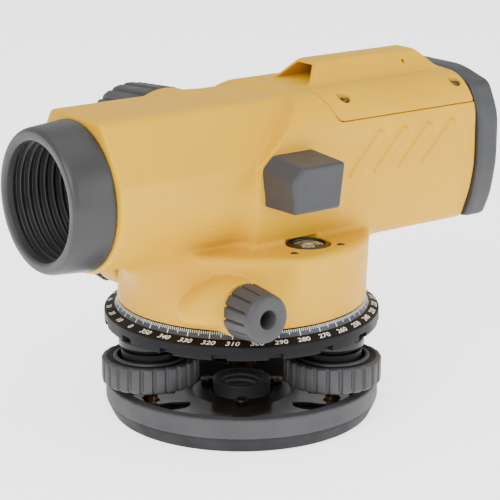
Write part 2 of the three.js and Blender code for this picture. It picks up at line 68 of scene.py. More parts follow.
SIGHT_Z = centre_of("objective_hood").z
FRONT_X = low_high("main_housing")[0].x
REAR_X = low_high("main_housing")[1].x
PLATFORM_Z = 75.0
TURRET_BOTTOM = low_high("circle_ring")[1].z + 0.3
SEAM_Z = low_high("top_cover")[0].z
RIDGE_TOP = low_high("top_cover")[1].z
FOOT_SCREWS = [centre_of(f"foot_screw_knob_{letter}") for letter in "abc"]
FOOT_ANGLES = [math.atan2(place.y, place.x) for place in FOOT_SCREWS]
FOCUS = centre_of("focus_knob")
TANGENT = centre_of("tangent_shaft")
BUBBLE = centre_of("level_vial_housing")
LEVEL_SCREWS = [centre_of(f"level_adjusting_screw_{i}") for i in (1, 2)]
COVER_SCREWS = [centre_of(f"cover_screw_{i}") for i in (1, 2, 3, 4)]
MIRROR_LOW, MIRROR_HIGH = low_high("mirror_housing")
RING_LOW, RING_HIGH = low_high("circle_ring")
RING_R = RING_HIGH.x
HOOD_LOW, HOOD_HIGH = low_high("objective_hood")


# -------------------- materials

def principled(name, color, roughness, metallic=0.0):
    material = bpy.data.materials.new(name)
    material.use_nodes = True
    tree = material.node_tree
    shader = tree.nodes["Principled BSDF"]
    shader.inputs["Base Color"].default_value = (*color, 1)
    shader.inputs["Roughness"].default_value = roughness
    shader.inputs["Metallic"].default_value = metallic
    return material, tree, shader


def noise(tree, scale, detail=3.0, roughness=0.5, stretch=None):
    """Noise in object space, in features per metre."""
    coordinates = tree.nodes.new("ShaderNodeTexCoord")
    texture = tree.nodes.new("ShaderNodeTexNoise")
    texture.inputs["Scale"].default_value = scale
    texture.inputs["Detail"].default_value = detail
    texture.inputs["Roughness"].default_value = roughness
    source = coordinates.outputs["Object"]
    if stretch:
        mapping = tree.nodes.new("ShaderNodeMapping")
        mapping.inputs["Scale"].default_value = stretch
        tree.links.new(source, mapping.inputs["Vector"])
        source = mapping.outputs["Vector"]
    tree.links.new(source, texture.inputs["Vector"])
    return texture.outputs["Fac"]


def spread(tree, value, low, high, start=0.3, end=0.7):
    """Maps a noise value to a range."""
    node = tree.nodes.new("ShaderNodeMapRange")
    node.inputs["From Min"].default_value = start
    node.inputs["From Max"].default_value = end
    node.inputs["To Min"].default_value = low
    node.inputs["To Max"].default_value = high
    tree.links.new(value, node.inputs["Value"])
    return node.outputs["Result"]


def blend_colors(tree, value, first, second):
    """Mixes a colour or a socket with a second colour."""
    node = tree.nodes.new("ShaderNodeMix")
    node.data_type = "RGBA"
    if isinstance(first, bpy.types.NodeSocket):
        tree.links.new(first, node.inputs["A"])
    else:
        node.inputs["A"].default_value = (*first, 1)
    node.inputs["B"].default_value = (*second, 1)
    tree.links.new(value, node.inputs["Factor"])
    return node.outputs["Result"]


def add_bump(tree, shader, layers):
    """Stacks bump layers given as (height socket, depth in metres)."""
    normal = None
    for height, depth in layers:
        bump = tree.nodes.new("ShaderNodeBump")
        bump.inputs["Distance"].default_value = depth
        bump.inputs["Strength"].default_value = 1.0
        tree.links.new(height, bump.inputs["Height"])
        if normal:
            tree.links.new(normal, bump.inputs["Normal"])
        normal = bump.outputs["Normal"]
    tree.links.new(normal, shader.inputs["Normal"])


def worn_edges(tree, start=0.56, end=0.72):
    """Rises from 0 to 1 on sharp outer edges, broken up by noise."""
    geometry = tree.nodes.new("ShaderNodeNewGeometry")
    edge = spread(tree, geometry.outputs["Pointiness"], 0, 1, start, end)
    broken = spread(tree, noise(tree, 900, 4), 0, 1, 0.4, 0.62)
    product = tree.nodes.new("ShaderNodeMath")
    product.operation = "MULTIPLY"
    tree.links.new(edge, product.inputs[0])
    tree.links.new(broken, product.inputs[1])
    return product.outputs["Value"]


def finish_material(name, light, dark, roughness, metallic=0.0, grain=(1500, 2e-5), wave=None,
                    wear=None, stretch=None, coat=0.0, specular=0.5):
    """A surface with slow colour drift, fine grain, uneven gloss and lighter worn edges.

    Grain and wave are (features per metre, depth in metres).
    """
    material, tree, shader = principled(name, light, roughness, metallic)
    drift = spread(tree, noise(tree, 35, 3), 0, 1)
    color = blend_colors(tree, drift, light, dark)
    grain_scale, grain_depth = grain
    fleck = spread(tree, noise(tree, grain_scale, 2, stretch=stretch), 0, 0.35)
    color = blend_colors(tree, fleck, color, tuple(channel * 0.8 for channel in dark))
    if wear:
        color = blend_colors(tree, worn_edges(tree), color, wear)
    tree.links.new(color, shader.inputs["Base Color"])
    gloss = spread(tree, noise(tree, 90, 4), roughness * 0.85, min(1.0, roughness * 1.2))
    tree.links.new(gloss, shader.inputs["Roughness"])
    layers = [(noise(tree, grain_scale, 2, stretch=stretch), grain_depth)]
    if wave:
        layers.append((noise(tree, wave[0], 1), wave[1]))
    add_bump(tree, shader, layers)
    shader.inputs["Coat Weight"].default_value = coat
    shader.inputs["Coat Roughness"].default_value = 0.25
    shader.inputs["Specular IOR Level"].default_value = specular
    return material


def clear_material(name, tint, roughness=0.02, ior=1.5):
    material, tree, shader = principled(name, tint, roughness)
    shader.inputs["Transmission Weight"].default_value = 1.0
    shader.inputs["IOR"].default_value = ior
    smear = spread(tree, noise(tree, 160, 3), roughness, roughness + 0.05)
    tree.links.new(smear, shader.inputs["Roughness"])
    add_bump(tree, shader, [(noise(tree, 300, 2), 2e-7)])
    return material


YELLOW = finish_material("casting_paint", (0.640, 0.345, 0.002), (0.600, 0.315, 0.002), 0.48,
                         grain=(2600, 7e-6), wave=(300, 1.2e-5),
                         wear=(0.74, 0.46, 0.04), specular=0.2)
GREY = finish_material("grey_plastic_grain", (0.036, 0.037, 0.040), (0.030, 0.031, 0.034), 0.50,
                       grain=(3200, 1.4e-5), wear=(0.10, 0.10, 0.11), specular=0.35)
KNOB = finish_material("knob_plastic_grain", (0.042, 0.042, 0.045), (0.034, 0.034, 0.037), 0.50,
                       grain=(3000, 1.5e-5), wear=(0.10, 0.10, 0.105), specular=0.35)
# Painted shade: the foot knobs' top faces and recesses are made near black for the shadow under the
# circle ring.
KNOB_TOP_SHADE = finish_material("knob_top_painted_shade", (0.010, 0.010, 0.011), (0.007, 0.007, 0.008), 0.55,
                           grain=(3000, 1.5e-5), specular=0.2)
HOOD = finish_material("hood_satin_paint", (0.030, 0.030, 0.031), (0.025, 0.025, 0.026), 0.40,
                       grain=(3400, 8e-6), wear=(0.10, 0.10, 0.10), specular=0.35)
# Painted shade: the valleys between the hood's inner ribs are made darker than the crests for the shade
# in them.
HOOD_VALLEY_SHADE = finish_material("hood_valley_painted_shade", (0.020, 0.020, 0.022), (0.015, 0.015, 0.017), 0.40,
                              grain=(3400, 8e-6), specular=0.4)
# Black gloss paint, tinted brown as a painted warm reflection.
BLACK_GLOSS_WARM_REFLECTION = finish_material("tribrach_gloss_paint_warm_reflection", (0.018, 0.013, 0.011), (0.012, 0.009, 0.008),
                              0.24, grain=(1800, 6e-6), wear=(0.06, 0.05, 0.04), coat=0.1,
                              specular=0.22)
BASE = finish_material("base_textured_paint", (0.046, 0.046, 0.050), (0.038, 0.038, 0.042), 0.58,
                       grain=(1500, 9e-5), wear=(0.11, 0.11, 0.12), specular=0.35)
# The lower chamfer band round the plate's foot is darker than the rest of the plate.
BASE_LOW_BAND = finish_material("base_low_band_darker", (0.013, 0.013, 0.015), (0.010, 0.010, 0.012), 0.62,
                            grain=(1500, 9e-5), wear=(0.06, 0.06, 0.07), specular=0.2)
CIRCLE = finish_material("circle_satin_black", (0.009, 0.009, 0.010), (0.006, 0.006, 0.007), 0.42,
                         grain=(2600, 1e-5), wear=(0.04, 0.04, 0.045), specular=0.10)
NUMBER_BAND = finish_material("number_band_black", (0.005, 0.005, 0.005), (0.004, 0.004, 0.004), 0.50,
                              grain=(3000, 4e-6), specular=0.12)
TICK_BAND = finish_material("tick_band_grey", (0.040, 0.044, 0.054), (0.033, 0.037, 0.046), 0.36,
                            grain=(3000, 4e-6), specular=0.35)
WHITE_MARK = finish_material("white_marking", (0.78, 0.79, 0.80), (0.72, 0.73, 0.74), 0.5,
                             grain=(3000, 4e-6))
BRASS = finish_material("brass_turned", (0.70, 0.42, 0.16), (0.60, 0.34, 0.12), 0.28, 1.0,
                        grain=(900, 5e-6), stretch=(1, 1, 12))
STEEL = finish_material("steel_turned", (0.52, 0.53, 0.55), (0.42, 0.43, 0.45), 0.26, 1.0,
                        grain=(1200, 4e-6), stretch=(1, 1, 9))
# Black spring steel, tinted brown as a painted warm reflection.
SPRING_WARM_REFLECTION = finish_material("spring_steel_blued_warm_reflection", (0.018, 0.013, 0.010), (0.013, 0.009, 0.007), 0.22,
                         grain=(700, 4e-6), stretch=(1, 6, 1), specular=0.12)
DARK_SCREW = finish_material("screw_blued", (0.10, 0.085, 0.07), (0.07, 0.06, 0.05), 0.35, 1.0,
                             grain=(1200, 4e-6))
ALUMINIUM = finish_material("aluminium_machined", (0.60, 0.61, 0.62), (0.50, 0.51, 0.53), 0.34, 1.0,
                            grain=(900, 8e-6), stretch=(8, 1, 1))
BLACK_ANODISED = finish_material("black_anodised", (0.014, 0.014, 0.015), (0.010, 0.010, 0.011), 0.34,
                                 grain=(2400, 6e-6))
RUBBER = finish_material("eye_cup_rubber", (0.016, 0.016, 0.017), (0.012, 0.012, 0.013), 0.72,
                         grain=(2200, 3e-5))
GLASS = clear_material("optical_glass", (0.93, 0.96, 0.95))
LENS = clear_material("coated_objective_glass", (0.62, 0.50, 0.72), 0.015, 1.55)
VIAL_FACE = finish_material("level_face_cream", (0.90, 0.80, 0.64), (0.84, 0.74, 0.58), 0.35,
                            grain=(1400, 4e-6))
MIRROR = finish_material("silvered_mirror", (0.86, 0.88, 0.90), (0.82, 0.84, 0.86), 0.05, 1.0,
                         grain=(600, 2e-7))


# -------------------- pieces

def add_piece(name, mesh, material, body, slot, *replaced, smooth=None):
    """Puts a mesh in the scene, riding on a body and standing for CAD nodes."""
    piece = bpy.data.objects.new(name, mesh)
    bpy.context.scene.collection.objects.link(piece)
    for entry in material if isinstance(material, (list, tuple)) else [material]:
        mesh.materials.append(entry)
    if smooth is not None:
        mesh.polygons.foreach_set("use_smooth", [True] * len(mesh.polygons))
        mesh.set_sharp_from_angle(angle=math.radians(smooth))
    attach(piece, body)
    if replaced:
        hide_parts(*replaced)
    return piece


def mesh_from(name, points, faces):
    """A mesh from points in millimetres."""
    mesh = bpy.data.meshes.new(name)
    mesh.from_pydata((np.asarray(points, float) * MM).tolist(), [], faces)
    mesh.update()
    return mesh


def outward(mesh):
    """Turns the faces of a closed mesh to point out."""
    work = bmesh.new()
    work.from_mesh(mesh)
    bmesh.ops.remove_doubles(work, verts=work.verts, dist=1e-7)
    bmesh.ops.recalc_face_normals(work, faces=work.faces)
    work.to_mesh(mesh)
    work.free()
    return mesh


ALONG = {
    "z": Matrix.Identity(4),
    "x": Matrix(((0, 0, 1, 0), (0, 1, 0, 0), (-1, 0, 0, 0), (0, 0, 0, 1))),
    "y": Matrix(((1, 0, 0, 0), (0, 0, 1, 0), (0, -1, 0, 0), (0, 0, 0, 1))),
}


def placed(mesh, axis="z", at=(0, 0, 0), turn=0.0):
    """Turns a mesh about its own Z, lays that Z along an axis, and moves it to a place in mm."""
    move = Matrix.Translation(Vector(at) * MM)
    mesh.transform(move @ ALONG[axis] @ Matrix.Rotation(turn, 4, "Z"))
    return mesh


def rounded(corners, radius=0.4, steps=4, closed=True):
    """Replaces each corner of an outline by a short arc; a corner may carry its own radius."""
    result = []
    count = len(corners)
    for i, corner in enumerate(corners):
        size = corner[2] if len(corner) > 2 else radius
        point = Vector(corner[:2])
        before = Vector(corners[i - 1][:2]) - point
        after = Vector(corners[(i + 1) % count][:2]) - point
        at_end = not closed and i in (0, count - 1)
        size = min(size, before.length * 0.45, after.length * 0.45)
        if size <= 0 or at_end:
            result.append(tuple(point))
            continue
        start, end = point + before.normalized() * size, point + after.normalized() * size
        for step in range(steps + 1):
            t = step / steps
            result.append(tuple((1 - t) ** 2 * start + 2 * t * (1 - t) * point + t * t * end))
    return result


def swept(name, stations):
    """Turned about Z through (angle, outline) stations; every outline has as many points."""
    points, faces = [], []
    for angle, outline in stations:
        c, s = math.cos(angle), math.sin(angle)
        points += [(r * c, r * s, z) for r, z in outline]
    n = len(stations[0][1])
    for i in range(len(stations)):
        j = (i + 1) % len(stations)
        for k in range(n):
            m = (k + 1) % n
            faces.append((i * n + k, j * n + k, j * n + m, i * n + m))
    return outward(mesh_from(name, points, faces))


def lathe(name, corners, segments=96, radius=0.4, steps=4):
    """Turned about Z from a closed outline of (radius, height) corners, with rounded corners."""
    outline = rounded(corners, radius, steps)
    return swept(name, [(2 * math.pi * i / segments, outline) for i in range(segments)])


def axis_lathe(name, corners, segments=96, radius=0.4, steps=4):
    """A turned solid whose outline starts and ends on the axis."""
    profile = rounded(corners, radius, steps, closed=False)
    inner = profile[1:-1]
    points = [(0, 0, profile[0][1]), (0, 0, profile[-1][1])]
    n = len(inner)
    for i in range(segments):
        angle = 2 * math.pi * i / segments
        points += [(r * math.cos(angle), r * math.sin(angle), z) for r, z in inner]
    faces = []
    for i in range(segments):
        j = (i + 1) % segments
        a, b = 2 + i * n, 2 + j * n
        faces.append((0, b, a))
        faces.append((1, a + n - 1, b + n - 1))
        faces += [(a + k, b + k, b + k + 1, a + k + 1) for k in range(n - 1)]
    return outward(mesh_from(name, points, faces))


def ribbed(name, profile, ribs, groove, land=0.7, per_rib=14, phase=0.0, soft=0.35):
    """A grip turned about Z. Profile points are (radius, height, share of the groove depth)."""
    stations = []
    for i in range(ribs * per_rib):
        inside = abs((i / per_rib) % 1.0 - 0.5) / 0.5
        width = 1 - land
        depth = 0.0
        if inside < width:
            depth = (0.5 + 0.5 * math.cos(math.pi * inside / width)) ** soft
        outline = [(r - groove * depth * share, z) for r, z, share in profile]
        stations.append((2 * math.pi * i / (ribs * per_rib) + phase, outline))
    return swept(name, stations)


# -------------------- distance fields, in millimetres

def smooth_max(a, b, k):
    """The larger value, with the corner between the two rounded over a width k."""
    h = np.maximum(k - np.abs(a - b), 0) / k
    return np.maximum(a, b) + h * h * k / 4


def smooth_min(a, b, k):
    return -smooth_max(-a, -b, k)


def carve(solid, hole, k=0.5):
    """A solid less a hole, with the hole's edge broken by k."""
    return smooth_max(solid, -hole, k)


def step_up(low, high, value):
    t = np.clip((value - low) / (high - low), 0, 1)
    return t * t * (3 - 2 * t)


def outline_field(corners):
    """Signed distance to a closed outline, as a function of its two coordinates."""
    def distance(u, v):
        u, v = np.broadcast_arrays(u, v)
        nearest = np.full(u.shape, 1e12)
        inside = np.zeros(u.shape, bool)
        for (au, av), (bu, bv) in zip(corners, corners[1:] + corners[:1]):
            eu, ev = bu - au, bv - av
            wu, wv = u - au, v - av
            t = np.clip((wu * eu + wv * ev) / (eu * eu + ev * ev), 0, 1)
            nearest = np.minimum(nearest, (wu - eu * t) ** 2 + (wv - ev * t) ** 2)
            if av != bv:
                crosses = (v >= min(av, bv)) & (v < max(av, bv))
                inside ^= crosses & (u < au + wv / ev * eu)
        root = np.sqrt(nearest)
        return np.where(inside, -root, root)
    return distance


def ball_field(x, y, z, centre, radii):
    """An ellipsoid; the distance is true near its surface."""
    u, v, w = (x - centre[0]) / radii[0], (y - centre[1]) / radii[1], (z - centre[2]) / radii[2]
    length = np.sqrt(u * u + v * v + w * w)
    slope = np.sqrt((u / radii[0]) ** 2 + (v / radii[1]) ** 2 + (w / radii[2]) ** 2) + 1e-6
    return length * (length - 1) / slope


def rod_field(u, v, radius):
    return np.hypot(u, v) - radius


def capsule_field(x, y, z, start, end, r0, r1):
    """A round-ended rod from start to end, whose radius goes from r0 to r1."""
    a, b = np.array(start, float), np.array(end, float)
    e = b - a
    t = np.clip(((x - a[0]) * e[0] + (y - a[1]) * e[1] + (z - a[2]) * e[2]) / (e @ e), 0, 1)
    u, v, w = x - a[0] - t * e[0], y - a[1] - t * e[1], z - a[2] - t * e[2]
    return np.sqrt(u ** 2 + v ** 2 + w ** 2) - (r0 + (r1 - r0) * t)


def solid_mesh(name, field, low, high, pitch=PITCH, budget=FACE_BUDGET):
    """Meshes the inside of a field, thins it, and puts every vertex back on the exact surface."""
    axes = [np.arange(a, b + pitch, pitch) for a, b in zip(low, high)]
    x, y, z = axes[0][:, None, None], axes[1][None, :, None], axes[2][None, None, :]
    shape = tuple(len(axis) for axis in axes)
    values = np.broadcast_to(field(x, y, z), shape).astype(np.float32)
    limit = 3 * pitch
    grid = openvdb.FloatGrid(limit)
    grid.copyFromArray(np.clip(values, -limit, limit))
    points, _, quads = grid.convertToPolygons(isovalue=0.0, adaptivity=0.0)
    points = points.astype(float) * pitch + np.array([axis[0] for axis in axes])
    mesh = bpy.data.meshes.new(name)
    mesh.from_pydata((points * MM).tolist(), [], quads.tolist())
    mesh.update()
    faces = 2 * len(mesh.polygons)
    if faces > budget:
        mesh = thinned(mesh, budget / faces)
    count = len(mesh.vertices)
    flat = np.empty(count * 3)
    mesh.vertices.foreach_get("co", flat)
    points = flat.reshape(-1, 3) / MM
    for _ in range(3):
        value, slope = value_and_slope(field, points)
        shift = np.clip(value / np.maximum((slope ** 2).sum(1), 0.25), -0.5 * pitch, 0.5 * pitch)
        points -= slope * shift[:, None]
    _, slope = value_and_slope(field, points)
    normals = slope / np.maximum(np.linalg.norm(slope, axis=1), 1e-6)[:, None]
    mesh.vertices.foreach_set("co", (points * MM).ravel())
    mesh.update()
    agree = sum(p.normal.dot(Vector(normals[p.vertices[0]])) for p in mesh.polygons[0:3000])
    if agree < 0:
        mesh.flip_normals()
    mesh.polygons.foreach_set("use_smooth", [True] * len(mesh.polygons))
    mesh.normals_split_custom_set_from_vertices(normals.tolist())
    return mesh


def thinned(mesh, ratio):
    """The mesh with that share of its faces left."""
    holder = bpy.data.objects.new("thinning", mesh)
    bpy.context.scene.collection.objects.link(holder)
    modifier = holder.modifiers.new("thin", "DECIMATE")
    modifier.ratio = ratio
    graph = bpy.context.evaluated_depsgraph_get()
    result = bpy.data.meshes.new_from_object(holder.evaluated_get(graph))
    result.name = mesh.name
    bpy.data.objects.remove(holder)
    return result


def value_and_slope(field, points, step=0.02):
    """The field and its gradient at scattered points."""
    x, y, z = points.T
    value = field(x, y, z)
    slope = np.stack([
        field(x + step, y, z) - field(x - step, y, z),
        field(x, y + step, z) - field(x, y - step, z),
        field(x, y, z + step) - field(x, y, z - step),
    ], axis=1) / (2 * step)
    return value, slope


# -------------------- the casting's outlines

# Each is (half width, height); the left end lies past the middle plane, where the two halves meet.
QUARTER = [math.radians(degree) for degree in range(0, 91, 6)]
TUBE_ROUND = [(31.4 * math.cos(a), 100.5 - 30.7 * math.sin(a), 0) for a in QUARTER]
TUBE_OUTLINE = outline_field(rounded(
    [(-12, 130, 0), (17.5, 130, 2.6), (31.2, 108, 0.7)] + TUBE_ROUND + [(-12, 69.8, 0)], steps=5))
SHOULDER_R = 18.0
SHOULDER = [(15.6 + SHOULDER_R * math.sin(a), 113.4 + SHOULDER_R * math.cos(a), 0) for a in QUARTER]
BODY_OUTLINE = outline_field(rounded(
    [(-12, 131.4, 0)] + SHOULDER
    + [(33.6, 94, 8), (31.2, 83, 4), (26.8, 71.8, 1.5), (24.5, 70, 1), (-12, 70, 0)], steps=5))
CAVITY_OUTLINE = outline_field([
    (-12, 127.5), (16, 127.5), (24, 124), (29, 118), (30, 112), (30, 92), (27, 82), (21, 73.5),
    (-12, 73.5)])
UNDER_COVER_OUTLINE = outline_field([
    (-12, 128), (16, 128), (24, 124.5), (29.5, 118), (29.5, 104), (-12, 104)])
PLATFORM_STOPS = [(0, 51), (60, 51), (99, 51), (112, 46.3), (140, 44.5), (160, 49), (180, 53)]
SEAM_GAP = 0.14


def platform_radius(angle):
    """The platform's radius against the angle from the +X axis, in degrees."""
    away = np.abs(angle)
    radius = np.full(away.shape, float(PLATFORM_STOPS[0][1]))
    for (a0, r0), (a1, r1) in zip(PLATFORM_STOPS, PLATFORM_STOPS[1:]):
        radius = radius + (r1 - r0) * step_up(a0, a1, away)
    return radius


def cover_front(across):
    """X of the cover's front edge, which sweeps back towards the sides."""
    return 18.8 + 5.6 * (across / 33.2) ** 4


def cover_zone(across, x, z, grow):
    """Inside is the space that the cover takes, grown by the seam's half gap."""
    return smooth_max(SEAM_Z - grow - z, (cover_front(across) - grow - x) * 0.95, 3.0)


def rear_body(across, x, z):
    """The wide part behind the front tube, with its sloping front flank."""
    rise = np.maximum(z - 108.6, 0)
    flank = -(0.675 * (x + 15) - 0.737 * rise)
    shape = smooth_max(BODY_OUTLINE(across, z), flank, 1.2)
    return smooth_max(shape, x - REAR_X, 0.8)


def turret(x, y, z):
    """The round foot over the circle, which flares out to the platform that holds the level."""
    rho = np.hypot(x, y)
    share = np.interp(z, [TURRET_BOTTOM, 56, 66, PLATFORM_Z], [0, 0.12, 0.6, 1])
    radius = 50 + (platform_radius(np.degrees(np.arctan2(y, x))) - 50) * share
    wall_side = (rho - radius) * 0.96
    return smooth_max(smooth_max(wall_side, z - PLATFORM_Z, 3.2), TURRET_BOTTOM - z, 0.9)


def blister(x, y, z):
    """The swelling round the fine-motion screw on the near side, and a short boss under each knob."""
    swell = ball_field(x, y, z, (-35, -36.0, 58.5), (19.5, 11.2, 10.0))
    overhang = np.hypot(x, y) - 49.5 - 2.2 * (z - TURRET_BOTTOM)
    swell = smooth_max(swell, overhang, 1.5)
    across = np.abs(y)
    reach = np.where(y < 0, 11.0, 9.6)
    boss = smooth_max(rod_field(x - TANGENT.x, z - TANGENT.z, 0) - reach, across - 44.3, 1.2)
    shape = smooth_min(swell, smooth_max(boss, 30 - across, 1), 1.4)
    return smooth_max(shape, TURRET_BOTTOM - z, 0.9)


def side_ribs(x, across, z):
    """Four slanting ribs on each side."""
    ribs = None
    for top_x in (42.9, 55.4, 67.9, 80.4):
        rib = capsule_field(x, across, z, (top_x, 33.4, 113.3), (top_x - 14.6, 33.7, 99.0), 1.9, 0.95)
        ribs = rib if ribs is None else np.minimum(ribs, rib)
    return ribs


def casting(x, y, z):
    """The housing: front tube, rear body, turret and bosses, less its bores and cavities."""
    across = np.abs(y)
    tube = smooth_max(smooth_max(TUBE_OUTLINE(across, z), FRONT_X - x, 1.6), x - 20, 1)
    body = rear_body(across, x, z)
    blend = 1.2 + 7 * step_up(107, 96, z)
    shape = smooth_min(tube, body, blend)
    boss = smooth_max(rod_field(x - FOCUS.x, z - FOCUS.z, 23.5), y - 27.5, 1.2)
    shape = smooth_min(shape, smooth_max(boss, 10 - y, 1), 2.5)
    fillet = 3.5 + 9 * step_up(-30, -52, x)
    shape = smooth_min(shape, turret(x, y, z), fillet)
    shape = smooth_min(shape, blister(x, y, z), 1.0)
    mirror = (MIRROR_LOW + MIRROR_HIGH) / 2
    pad = np.maximum(np.abs(x - mirror.x) - 13.2, np.abs(z - mirror.z) - 10.3)
    pad = np.maximum(pad, (z - 106.0) * 0.76 - (x + 15.8) * 0.65)
    shape = smooth_min(shape, smooth_max(smooth_max(pad, -33.7 - y, 0.6), y + 30, 1), 0.5)
    shape = smooth_min(shape, side_ribs(x, across, z), 0.25)
    shape = np.maximum(shape, -cover_zone(across, x, z, SEAM_GAP))
    shape = carve(shape, smooth_max(rod_field(y, z - SIGHT_Z, 26), x + 49, 0.5), 0.8)
    shape = carve(shape, smooth_max(rod_field(y, z - SIGHT_Z, 25), np.abs(x + 20) - 32, 0.5))
    shape = carve(shape, np.maximum(CAVITY_OUTLINE(across, z), 10 - x))
    shape = carve(shape, smooth_max(np.hypot(x, y) - 46.5 + 3.5 * step_up(52, 66, z), z - 68, 1.0))
    shape = carve(shape, smooth_max(rod_field(x - FOCUS.x, z - FOCUS.z, 5), 10 - y, 0.5))
    shape = carve(shape, smooth_max(rod_field(x - FOCUS.x, z - FOCUS.z, 24.7), 27.6 - y, 0.8))
    shape = carve(shape, rod_field(x - TANGENT.x, z - TANGENT.z, 5))
    well = smooth_max(rod_field(x - BUBBLE.x, y - BUBBLE.y, 8.8), np.abs(z - 70.7) - 5.5, 0.5)
    shape = carve(shape, well, 0.7)
    for screw in LEVEL_SCREWS:
        hole = smooth_max(rod_field(x - screw.x, y - screw.y, 1.7), np.abs(z - 72) - 6, 0.5)
        shape = carve(shape, hole, 0.5)
    return shape


RIDGE_FOOT_Z = 130.5
RIDGE_OUTLINE = outline_field(rounded(
    [(-12, RIDGE_TOP, 0), (5.8, RIDGE_TOP, 2.2), (13.0, RIDGE_FOOT_Z, 0), (16, 126, 0), (-12, 126, 0)]))
TUNNEL_OUTLINE = outline_field(rounded(
    [(-12, RIDGE_TOP - 1.7, 0), (4.7, RIDGE_TOP - 1.7, 0.8), (10.6, 131.3, 0.3), (-12, 131.3, 0)]))


def cover(x, y, z):
    """The cover over the compensator, with the open gun sight as its ridge."""
    across = np.abs(y)
    shell = np.maximum(BODY_OUTLINE(across, z), cover_zone(across, x, z, -SEAM_GAP))
    shell = smooth_max(shell, x - (REAR_X - 0.3), 0.8)
    ends = np.maximum(23.8 - x + z - RIDGE_FOOT_Z, x - 93.2 + z - RIDGE_FOOT_Z) * 0.7071
    ridge = smooth_max(smooth_max(RIDGE_OUTLINE(across, z), ends, 1.2), x - (REAR_X - 0.3), 0.5)
    shape = smooth_min(shell, smooth_max(ridge, 128.5 - z, 0.5), 2.0)
    shape = np.maximum(shape, cover_zone(across, x, z, -SEAM_GAP))
    shape = carve(shape, np.maximum(UNDER_COVER_OUTLINE(across, z), 27 - x))
    shape = carve(shape, np.maximum(TUNNEL_OUTLINE(across, z), -x), 0.5)
    for screw in COVER_SCREWS:
        well = smooth_max(rod_field(x - screw.x, y - screw.y, 2.5), screw.z - 0.9 - z, 0.4)
        shape = carve(shape, well, 0.9)
    pin = smooth_max(rod_field(x - 75.3, z - 135.2, 0.85), y + 6.5, 0.3)
    return carve(shape, pin, 0.3)


REAR_CAP_X = low_high("rear_cover")[1].x
REAR_OUTLINE = outline_field(rounded(
    [(-12, 132, 0), (13, 132, 5), (29.4, 127.4, 3), (35.5, 114.5, 5), (35.5, 94.5, 5), (32.6, 80, 3),
     (28.4, 70.6, 2.0), (22, 70.1, 1), (-12, 70.1, 0)], steps=6))


def rear_cap(x, y, z):
    """The hollow cover over the rear end, with a round hole for the eyepiece."""
    across = np.abs(y)
    inset = 0.5 * step_up(REAR_X + 3, REAR_X, x)
    outer = REAR_OUTLINE(across, z) + inset
    shape = smooth_max(smooth_max(outer, x - REAR_CAP_X, 3.6), REAR_X + 0.3 - x, 0.8)
    room = np.maximum(outer + 3.0, x - REAR_CAP_X + 3.0)
    shape = carve(shape, room)
    return carve(shape, rod_field(y, z - SIGHT_Z, 13.3), 0.8)


def mirror_hood(x, y, z):
    """A wedge-shaped box with one bevelled corner, open below and to the rear."""
    out = np.clip((MIRROR_HIGH.y - y) / (MIRROR_HIGH.y - MIRROR_LOW.y), 0, 1.2)
    rise = np.clip((z - MIRROR_LOW.z) / (MIRROR_HIGH.z - MIRROR_LOW.z), 0, 1)
    x0 = MIRROR_LOW.x + 0.7 - 1.5 * rise + 0.8 * out
    x1 = MIRROR_HIGH.x + 1.9 * rise * out - 0.5 * (1 - rise)
    z0, z1 = MIRROR_LOW.z - 0.3 + 0.1 * out, MIRROR_HIGH.z + 1.2 - 2.0 * out
    shape = smooth_max(smooth_max(x0 - x, x - x1, 0.1), smooth_max(z0 - z, z - z1, 0.1), 1.1)
    bevel = (z - (z1 - 4.6)) * 0.76 - (x - x0) * 0.65
    shape = smooth_max(shape, bevel, 0.7)
    shape = smooth_max(shape, MIRROR_LOW.y - y, 1.5)
    shape = np.maximum(shape, y - MIRROR_HIGH.y)
    room = np.maximum(np.maximum(MIRROR_LOW.x + 3.5 - x, z - z1 + 2.6),
                      np.maximum(MIRROR_LOW.y + 2.6 - y, y - MIRROR_HIGH.y + 2.4))
    return carve(shape, room, 0.5)


# -------------------- levelling head

HUB_LOW, HUB_HIGH = low_high("tribrach_body")
ARM_BOTTOM, ARM_TOP = 33.0, 37.4


def along_and_aside(x, y, angle):
    """Plan coordinates along an arm that points at an angle, and across it."""
    c, s = math.cos(angle), math.sin(angle)
    return x * c + y * s, y * c - x * s


def tribrach(x, y, z):
    """The hub with its sleeve and three arms; the arms' ends take the foot screws' bushes."""
    rho = np.hypot(x, y)
    hub = smooth_max(rho - 16, HUB_LOW.z - z, 2.0)
    hub = smooth_max(hub, z - ARM_TOP, 1)
    plate = smooth_max(rho - 30, np.maximum(ARM_BOTTOM + 0.6 - z, z - ARM_TOP), 1.6)
    shape = smooth_min(hub, plate, 6)
    for angle, place in zip(FOOT_ANGLES, FOOT_SCREWS):
        along, aside = along_and_aside(x, y, angle)
        arm = np.maximum(np.maximum(np.abs(aside) - 10, 14 - along), along - 41)
        end = rod_field(x - place.x, y - place.y, 12.5)
        arm = smooth_min(arm, end, 3)
        slab = np.abs(z - (ARM_BOTTOM + ARM_TOP) / 2) - (ARM_TOP - ARM_BOTTOM) / 2
        arm = smooth_max(arm, slab, 1.6)
        shape = smooth_min(shape, arm, 2.5)
    seat = np.maximum(rho - 20, z - 42)
    sleeve = smooth_max(rho - 14, z - HUB_HIGH.z, 0.8)
    shape = smooth_min(shape, np.maximum(smooth_min(seat, sleeve, 1), 30 - z), 0.8)
    shape = smooth_max(shape, z - HUB_HIGH.z, 0.4)
    shape = carve(shape, np.maximum(rho - 9.5, HUB_LOW.z + 3 - z))
    shape = carve(shape, rho - 4 + 0 * z)
    for place in FOOT_SCREWS:
        shape = carve(shape, rod_field(x - place.x, y - place.y, 9.9) + 0 * z)
    return shape


